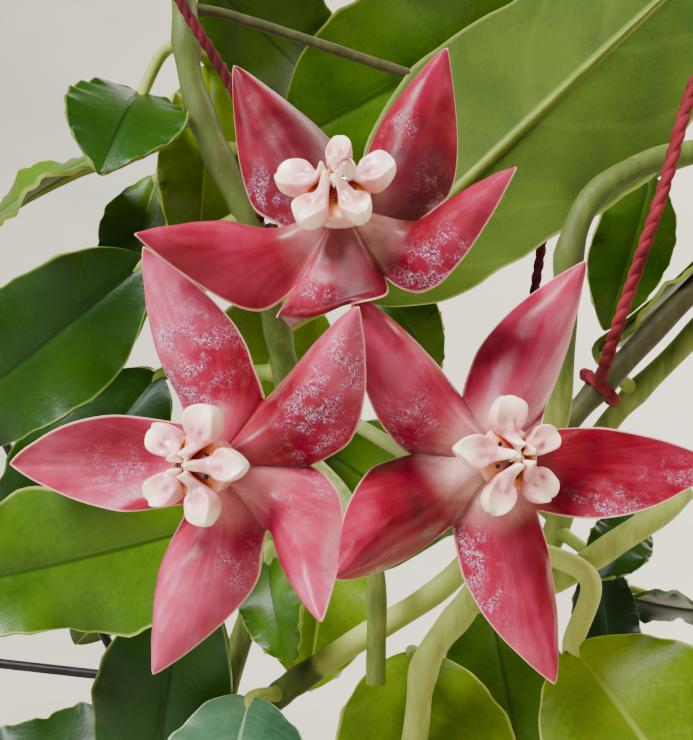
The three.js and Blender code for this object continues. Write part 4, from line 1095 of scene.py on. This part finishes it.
corona = {
    "root": 0.9, "reach": 12.1,
    "width": [(0, 0.1), (0.05, 0.5), (0.14, 0.95), (0.24, 1.35), (0.34, 2), (0.44, 2.7), (0.56, 3.2), (0.68, 3.25),
              (0.8, 2.95), (0.9, 2.4), (1, 1.7)],
    "top": [(0, 8.6), (0.06, 10), (0.11, 11.8), (0.18, 10), (0.28, 8), (0.42, 7.6), (0.58, 8.1), (0.76, 8.4),
            (0.9, 8.2), (1, 7.6)],
    "foot": [(0, 8), (0.1, 6.9), (0.3, 5), (0.42, 3), (0.55, 2.4), (0.75, 2.9), (1, 4)],
    "spread": [(0, 0), (0.2, 0.56), (0.34, 0.92), (0.45, 1), (0.6, 0.95), (0.82, 0.62), (1, 0)],
    "level": [(0, 0.98), (0.2, 0.99), (0.34, 0.99), (0.45, 0.86), (0.6, 0.46), (0.82, 0.12), (1, 0)],
    "cupRadius": 6.5, "undercut": 1.7, "cupFoot": 0.3, "floorShare": 0.8, "wallStain": 0.16,
    "hollow": [(0, 7.3), (1.6, 7.1), (2.7, 6.5), (4, 5.6), (5.2, 4.7), (6.5, 3.9)],
    "stain": [(0, 1), (2.6, 0.95), (3.8, 0.72), (4.8, 0.5), (5.7, 0.34), (6.5, 0.2)],
    "dotReach": 3.7, "dotSize": 0.45, "columnRadius": 1.45, "columnFoot": 0.6, "columnTop": 8.7,
    "antherReach": 1.1, "antherTop": 8.1, "antherWidth": 0.6, "seed": 7,
}


def addBall(segments, rings, material, place):
    # a ball whose every point is moved; its tint is blush, rust and dot
    bpy.ops.mesh.primitive_uv_sphere_add(segments=segments, ring_count=rings, radius=1)
    ball = bpy.context.object
    tints = []
    for vertex in ball.data.vertices:
        vertex.co, tint = place(*vertex.co)
        tints.extend(tint)
    storeValues(ball, "tint", tints)
    ball.data.materials.append(material)
    return ball


def lobePoint(form, x, y, z):
    # z runs along the lobe, from its inner point to its blunt end. Round it, the section goes from the
    # flat top over a soft corner and down the side to the foot. The place is outward, sideways and up.
    along, part = (z + 1) / 2, math.atan2(abs(x), y) / math.pi
    endShare = blendValues(0.18, 0.5, form["end"])
    late = max(0, (along - 1 + endShare) / endShare)
    fat = max(0, 1 - late ** blendValues(2.6, 1.6, form["end"])) ** 0.5 * min(1, along / 0.04) ** 0.5
    body = smooth(along, 0.3, 0.46)
    half = profile(corona["width"], along) * blendValues(1, form["wide"], body) * fat
    spread = blendValues(math.sin(part * math.pi), profile(corona["spread"], part), body)
    level = blendValues(0.5 + 0.5 * math.cos(part * math.pi), profile(corona["level"], part), body)
    side = math.copysign(spread * half, x)
    top = profile(corona["top"], along) + form["raise"] * body
    foot = profile(corona["foot"], along) - form["drop"] * body
    high = blendValues(foot, top, blendValues(0.6, level, fat ** 0.7))
    upper = 1 - smooth(part, 0.3, 0.45)
    pit = math.exp(-((abs(side) - 1.2) / 0.7) ** 2 - ((along - 0.5) / 0.08) ** 2)
    crease = form["dip"] * math.exp(-(side / 0.9) ** 2) * smooth(along, 0.5, 0.85)
    ridge = 0.35 * math.exp(-(side / 0.5) ** 2) * smooth(along, 0.26, 0.4) * (1 - smooth(along, 0.5, 0.65))
    dish = 0.55 * (1 - spread ** 2) * body * smooth(along, 0.44, 0.6) * (1 - smooth(along, 0.85, 0.98))
    high += (ridge - crease - dish - 0.45 * pit) * upper
    side += form["lean"] * body * along + 0.2 * math.sin(along * 11 + form["lean"] * 9) * body * spread
    out = blendValues(corona["root"], corona["reach"] * form["long"], along)
    out -= form["cleft"] * math.exp(-((side - form["lean"] * along) / 0.6) ** 2) * smooth(along, 0.84, 1)
    aside = side - form["lean"] * along
    spot = math.exp(-((abs(aside) - form["spread"]) / 0.95) ** 2 - ((along - form["spotAlong"]) / 0.11) ** 2)
    spot *= form["uneven"] if aside > 0 else 1
    flush = 0.5 * smooth(along, 0.14, 0.3) * (1 - smooth(along, 0.5, 0.9))
    inner = 0.8 * smooth(part, 0.3, 0.6) * (1 - smooth(along, 0.3, 0.42))
    rust = smooth(part, 0.55, 0.8) * (1 - smooth(along, 0.4, 0.72)) * 0.9
    return (out, side, high), (max(form["blush"] * spot * upper, flush, inner), rust, 0)


def makeCorona(name, bloom):
    dice = random.Random(corona["seed"] + len(name))
    face, right, up = bloom["axes"]
    start = math.radians(bloom["roll"] + petal["halfTurn"])
    fall = math.sin(math.radians(bloom["dome"]))  # how fast the corolla falls away from the heart
    drop = fall * 2  # how much lower the lobes' feet go to meet it

    def fromHeart(turn, out, side, high):
        outward = right * math.cos(turn) + up * math.sin(turn)
        sideways = up * math.cos(turn) - right * math.sin(turn)
        high += bloom["stand"] * smooth(high, 0, 4)
        return bloom["centre"] + (outward * out + sideways * side + face * high) * mm

    def cupPoint(x, y, z):
        # the floor between the lobes, then the wall down to the corolla, then the closed underside
        turn = math.atan2(y, x)
        between = 0.5 - 0.5 * math.cos(5 * (turn - start))
        share = math.acos(min(max(z, -1), 1)) / (math.pi / 2)
        rim = corona["cupRadius"] * (1 - 0.04 * between)
        base = rim - corona["undercut"]
        foot = corona["cupFoot"] - fall * base
        sink = drop * 0.3
        if share <= corona["floorShare"]:
            reach = rim * share / corona["floorShare"]
            across = reach / rim * corona["cupRadius"]
            high = profile(corona["hollow"], across) - sink * smooth(reach, 3, 7.4)
            rust = profile(corona["stain"], across)
        elif share <= 1:
            bend = (share - corona["floorShare"]) / (1 - corona["floorShare"]) * math.pi / 2
            reach = rim + 0.4 * math.sin(2 * bend) - corona["undercut"] * math.sin(bend) ** 2
            high = blendValues(foot, corona["hollow"][-1][1] - sink, math.cos(bend))
            rust = corona["wallStain"] + 0.04 * math.cos(bend)
        else:
            reach, high, rust = base * (2 - share), foot, corona["wallStain"]
        return fromHeart(turn, reach, 0, high), (0.2 + 0.2 * between, rust, 0)

    def columnPoint(x, y, z):
        # the column in the middle, grooved towards the lobes
        turn, level = math.atan2(y, x), (z + 1) / 2
        groove = 0.5 + 0.5 * math.cos(5 * (turn - start))
        reach = corona["columnRadius"] * math.hypot(x, y) * (1.1 - 0.25 * groove) * (1.5 - 0.5 * level)
        # darker olive in the grooves: partly the column's green, partly painted shade
        shade = -0.2 - 0.7 * groove * smooth(math.hypot(x, y), 0.3, 0.9)
        high = corona["columnFoot"] + (corona["columnTop"] - corona["columnFoot"]) * level
        return fromHeart(turn, reach, 0, high), (shade, 0.7 * (1 - smooth(z, -0.2, 0.4)), 0)

    parts = [addBall(80, 60, coronaFinish, cupPoint), addBall(30, 20, coronaFinish, columnPoint)]
    for number in range(5):
        turn = start + math.radians(2 * petal["halfTurn"] * number)
        wide, long, end = bloom["lobes"][number]
        form = {"wide": wide, "long": long, "end": end, "dip": dice.uniform(0.05, 0.35) * (1 - end),
                "cleft": dice.uniform(0, 0.6) * (1 - end), "raise": dice.uniform(-0.3, 0.5),
                "lean": dice.uniform(-0.6, 0.6), "spread": dice.uniform(0.5, 1.2),
                "blush": dice.uniform(0.6, 0.95), "drop": drop, "spotAlong": dice.uniform(0.48, 0.58),
                "uneven": dice.choice((0.35, 0.7, 1.2))}

        def place(x, y, z):
            (out, side, high), tint = lobePoint(form, x, y, z)
            return fromHeart(turn, out, side, high), tint

        parts.append(addBall(40, 44, coronaFinish, place))
        gap = turn + math.radians(petal["halfTurn"])

        def dotPlace(x, y, z):
            # the nectar gland, a dark dot on the floor of the hollow
            reach, size = corona["dotReach"], corona["dotSize"]
            high = profile(corona["hollow"], reach) + z * size * 0.6
            return fromHeart(gap, reach + x * size * 1.2, y * size, high), (0, 1, 1)

        def antherPlace(x, y, z):
            # a horny wing of the column, between two lobes
            taper = corona["antherWidth"] * (1 - 0.6 * smooth(x, -0.4, 1))
            high = corona["antherTop"] - 0.5 * (x + 1) + z * taper * 0.8
            return fromHeart(gap, corona["antherReach"] + x * 0.8, y * taper, high), (-0.12, 0, 0)

        parts += [addBall(12, 8, coronaFinish, dotPlace), addBall(14, 12, coronaFinish, antherPlace)]
    whole = joinPieces(parts)
    smoothShade(whole, 180)
    finishPiece(whole, f"corona{name.capitalize()}", "corona", f"corona_{name}")


# One drop of nectar hangs in the top flower's corona

nectarDrop = {"centre": seen(347, 169, -9), "radius": 1.75, "tall": 1.24, "sag": 0.07, "taper": 0.12}


def makeNectarDrop():
    def place(x, y, z):
        lean = 1 - nectarDrop["taper"] * max(0, z) ** 2
        spot = Vector((x * lean, y * lean, z * nectarDrop["tall"] - nectarDrop["sag"] * max(0, -z)))
        return nectarDrop["centre"] + spot * nectarDrop["radius"] * mm, (0, 0, 0)

    bead = addBall(32, 24, nectarFinish, place)
    smoothShade(bead, 180)
    finishPiece(bead, "nectarDrop", "corona")


# The umbel's stalks: one peduncle, and a pedicel and a calyx behind each flower

umbel = {"peduncle": 2.7, "pedicel": 1.7, "sepal": 5.75, "sepalTip": 0.6, "behind": 2.2, "reach": 26,
         "sepalRadii": (1.2, 1.4, 1.4, 1.2, 0.9, 0.5, 0.1)}
peduncleRoute = [seen(289, 432, 86), seen(312, 432, 78), seen(340, 415, 66)]


def thickened(radius, flare, length, steps):
    # radii in metres along a stalk that widens towards its end, over a length counted in steps
    return [radius * (1 + flare * math.exp(-((steps - step) / length) ** 2)) * mm for step in range(steps + 1)]


def makeUmbelStalk():
    fork = peduncleRoute[-1]
    route = evenRoute(peduncleRoute, 1.2 * mm)
    radii = thickened(umbel["peduncle"], 0.4, 4, len(route) - 1)
    stalks = [addRod(route, radii, stalkFinish, 16)]
    for bloom in flowers.values():
        face, right, up = bloom["axes"]
        leave = bloom["centre"] - face * umbel["reach"] * mm
        path = evenRoute([fork, leave, bloom["centre"] - face * 1.2 * mm], 1.5 * mm)
        radii = thickened(umbel["pedicel"], 1.3, 2.2, len(path) - 1)
        stalks.append(addRod(path, radii, stalkFinish, 14))
        for sepal in range(5):
            angle = math.radians(bloom["roll"] + petal["halfTurn"] * (2 * sepal + 1))
            outward = right * math.cos(angle) + up * math.sin(angle)
            base = bloom["centre"] - face * (petal["thickness"] / 2 + umbel["behind"]) * mm
            rise = umbel["sepalTip"] - math.sin(math.radians(bloom["dome"])) * umbel["sepal"]
            tip = base + outward * umbel["sepal"] * mm + face * rise * mm
            radii = [radius * mm for radius in umbel["sepalRadii"]]
            route = [base.lerp(tip, step / (len(radii) - 1)) for step in range(len(radii))]
            stalks.append(addRod(route, radii, stalkFinish, 8))
    whole = joinPieces(stalks)
    smoothShade(whole, 60)
    finishPiece(whole, "umbelStalk", "stem", "umbel_stalk")


for name, bloom in flowers.items():
    bloom["axes"] = flowerAxes(bloom)
    bloom["petals"] = [{**petal["usual"], **form} for form in bloom["petals"]]
    makeCorolla(name, bloom)
    makeCorona(name, bloom)
makeNectarDrop()
makeUmbelStalk()
print("flowers ready")


# Trellis: straight painted wires, pushed into the mix

wire = {"radius": 1.25, "planeY": 17, "buried": 70, "sides": 20, "steps": 24, "endPlaces": (0, 0.3, 0.9),
        "endShares": (0.55, 0.88, 1)}
spacing = 2 * wire["radius"] + seat
outerY, rungY = wire["planeY"], wire["planeY"] - spacing
leftY, rightY = wire["planeY"] + spacing, wire["planeY"] + 2 * spacing  # the inner legs cross behind
wirePlaces = {
    "trellis_leg_outer_left": (at(-66, outerY, 128), at(-135, outerY, 446)),
    "trellis_leg_inner_left": (at(8, leftY, 128), at(-117, leftY, 372)),
    "trellis_leg_inner_right": (at(-8, rightY, 128), at(80, rightY, 446)),
    "trellis_leg_outer_right": (at(66, outerY, 128), at(135, outerY, 446)),
    "trellis_rung_left": (at(-101, rungY, 261.5), at(-56, rungY, 256.5)),
    "trellis_rung_top": (at(-138, rungY, 440), at(138, rungY, 440)),
}


def makeWire(node, low, high):
    ahead = (high - low).normalized()
    if "leg" in node:
        low = low - ahead * wire["buried"] * mm
    length, steps = (high - low).length, wire["steps"]
    ends = [place * mm for place in wire["endPlaces"]]
    marks = ends + [length * step / steps for step in range(1, steps)]
    marks += [length - mark for mark in reversed(ends)]
    shares = [*wire["endShares"], *[1] * (steps - 1), *reversed(wire["endShares"])]
    radii = [wire["radius"] * share * mm for share in shares]
    rod = addRod([low + ahead * mark for mark in marks], radii, wireCoat, wire["sides"])
    smoothShade(rod, 60)
    parts = node.split("_")
    finishPiece(rod, parts[0] + "".join(part.capitalize() for part in parts[1:]), "wire", node)


for node, (low, high) in wirePlaces.items():
    makeWire(node, low, high)
print("trellis ready")


# Twine: two strands twisted together, tied round a wire at the top and round a vine at the foot

twinePlaces = {
    "left": {"radius": 1.35, "vine": "left", "points": [
        at(-64, rungY, 440), seen(150, -62, 64), seen(180, 0, 54.5), seen(237, 97, 53), seen(266, 170, 54),
        seen(255, 235, 62)]},
    "middle": {"radius": 1.35, "vine": "right", "points": [
        at(58, rungY, 440), seen(549, 190, 92), seen(541, 250, 88), seen(535, 290, 88), seen(517, 492, 82)]},
    "right": {"radius": 1.65, "vine": "right", "points": [
        at(126, rungY, 440), seen(707, 60, 54), seen(660, 200, 53), seen(609, 352, 66), seen(597, 390, 84)]},
}
twine = {"pitch": 7.5, "pitchRadius": 1.5, "step": 0.5, "strand": 0.74, "sides": 10, "knotSteps": 40}


def twisted(path, radius, material):
    # two strands that wind round the path
    strands = []
    turnLength = twine["pitch"] * mm * radius / twine["pitchRadius"]
    for start in (0, math.pi):
        side = Vector((0, 1, 0))
        walked, places = 0, []
        for index, place in enumerate(path):
            ahead = (path[min(index + 1, len(path) - 1)] - path[max(index - 1, 0)]).normalized()
            side = (side - ahead * side.dot(ahead)).normalized()
            if index:
                walked += (place - path[index - 1]).length
            turn = start + walked / turnLength * 2 * math.pi
            off = side * math.cos(turn) + ahead.cross(side) * math.sin(turn)
            places.append(place + off * radius * (1 - twine["strand"]) * mm)
        radii = [radius * twine["strand"] * mm] * len(places)
        strands.append(addRod(places, radii, material, twine["sides"]))
    return strands


def knotPath(centre, ahead, radius):
    side = ahead.orthogonal().normalized()
    up = ahead.cross(side)
    turns = [2 * math.pi * step / twine["knotSteps"] for step in range(twine["knotSteps"] + 1)]
    return [centre + (side * math.cos(turn) + up * math.sin(turn)) * radius * mm for turn in turns]


def makeTwine(name, tie):
    finish = twineFinishes[name]
    strands = twisted(evenRoute(tie["points"], twine["step"] * mm), tie["radius"], finish)
    path = vinePaths[tie["vine"]]
    index = min(range(1, len(path) - 1), key=lambda i: (path[i] - tie["points"][-1]).length)
    ahead = (path[index + 1] - path[index - 1]).normalized()
    ringRadius = tie["radius"] + seat
    upperKnot = knotPath(tie["points"][0], Vector((1, 0, 0)), wire["radius"] + ringRadius)
    lowerKnot = knotPath(path[index], ahead, vine["radius"] + ringRadius)
    for knot in (upperKnot, lowerKnot):
        strands += twisted(knot, tie["radius"], finish)
    whole = joinPieces(strands)
    smoothShade(whole, 60)
    finishPiece(whole, f"twine{name.capitalize()}", "twine", f"twine_{name}")


for name, tie in twinePlaces.items():
    makeTwine(name, tie)
print("twine ready")


# Floor, backdrop and light: places in metres, power in watts

backdrop = {"size": 6, "forward": 1.2, "height": 3, "bend": 0.8, "bendSteps": 24}
lamps = {
    "windowLight": dict(place=(-0.7, -0.8, 1.4), target=(0, 0, 0.32), size=0.6, power=74, colour="#f8f7ff"),
    "sideWindow": dict(place=(-1.3, -0.3, 0.6), target=(0, 0, 0.34), size=0.4, power=10, colour="#eef2ff"),
    "roomFill": dict(place=(1.2, -1.2, 0.9), target=(0, 0, 0.3), size=1, power=8, colour="#fff4e6"),
    "backFill": dict(place=(0.6, 1.3, 1.5), target=(0, 0, 0.3), size=1, power=21, colour="#fff8f0"),
    "wallGlow": dict(place=(1.5, 0.7, 1.8), target=(1.1, 1.7, 0.4), size=1.2, power=140, colour="#ffeee0"),
}
room = {"colour": "#e6e2da", "strength": 0.24}


def makeStage():
    # Seamless background paper: pale, matt and faintly fibrous
    material, tree, shader = newMaterial("mattBackgroundPaper", 0.95)
    place = addNode(tree, "TexCoord", output="Object")
    pulp = addNode(tree, "TexNoise", {"Vector": place, "Scale": 6, "Detail": 5})
    paper = addNode(tree, "ValToRGB", {"Fac": pulp}, stops=[(0.3, "#b6b5a8"), (0.7, "#c4c1b4")])
    tree.links.new(paper, shader.inputs["Base Color"])
    bpy.ops.mesh.primitive_plane_add(size=backdrop["size"], location=(0, -backdrop["forward"], 0))
    sweep = bpy.context.object
    bpy.ops.object.mode_set(mode="EDIT")
    bpy.ops.mesh.select_all(action="DESELECT")
    bpy.ops.object.mode_set(mode="OBJECT")
    for edge in sweep.data.edges:
        edge.select = all(sweep.data.vertices[index].co.y > 0 for index in edge.vertices)
    for vertex in sweep.data.vertices:
        vertex.select = vertex.co.y > 0
    bpy.ops.object.mode_set(mode="EDIT")
    bpy.ops.mesh.extrude_region_move(TRANSFORM_OT_translate={"value": (0, 0, backdrop["height"])})
    bpy.ops.object.mode_set(mode="OBJECT")
    bend = sweep.modifiers.new("sweep", "BEVEL")
    bend.width = backdrop["bend"]
    bend.segments = backdrop["bendSteps"]
    applyModifiers(sweep)
    bpy.ops.object.transform_apply(location=True)
    sweep.data.materials.append(material)
    smoothShade(sweep, 60)
    sweep.name = "paperSweep"


def addSoftbox(name, place, target, size, power, colour):
    bpy.ops.object.light_add(type="AREA", location=place)
    lamp = bpy.context.object
    lamp.name = name
    lamp.data.size = size
    lamp.data.energy = power
    lamp.data.color = linearColour(colour)[:3]
    lamp.rotation_euler = (Vector(target) - Vector(place)).to_track_quat("-Z", "Y").to_euler()


makeStage()
for name, lamp in lamps.items():
    addSoftbox(name, **lamp)
world = bpy.data.worlds.new("softRoom")
world.use_nodes = True
world.node_tree.nodes["Background"].inputs["Color"].default_value = linearColour(room["colour"])
world.node_tree.nodes["Background"].inputs["Strength"].default_value = room["strength"]
bpy.context.scene.world = world
print("stage and light ready")
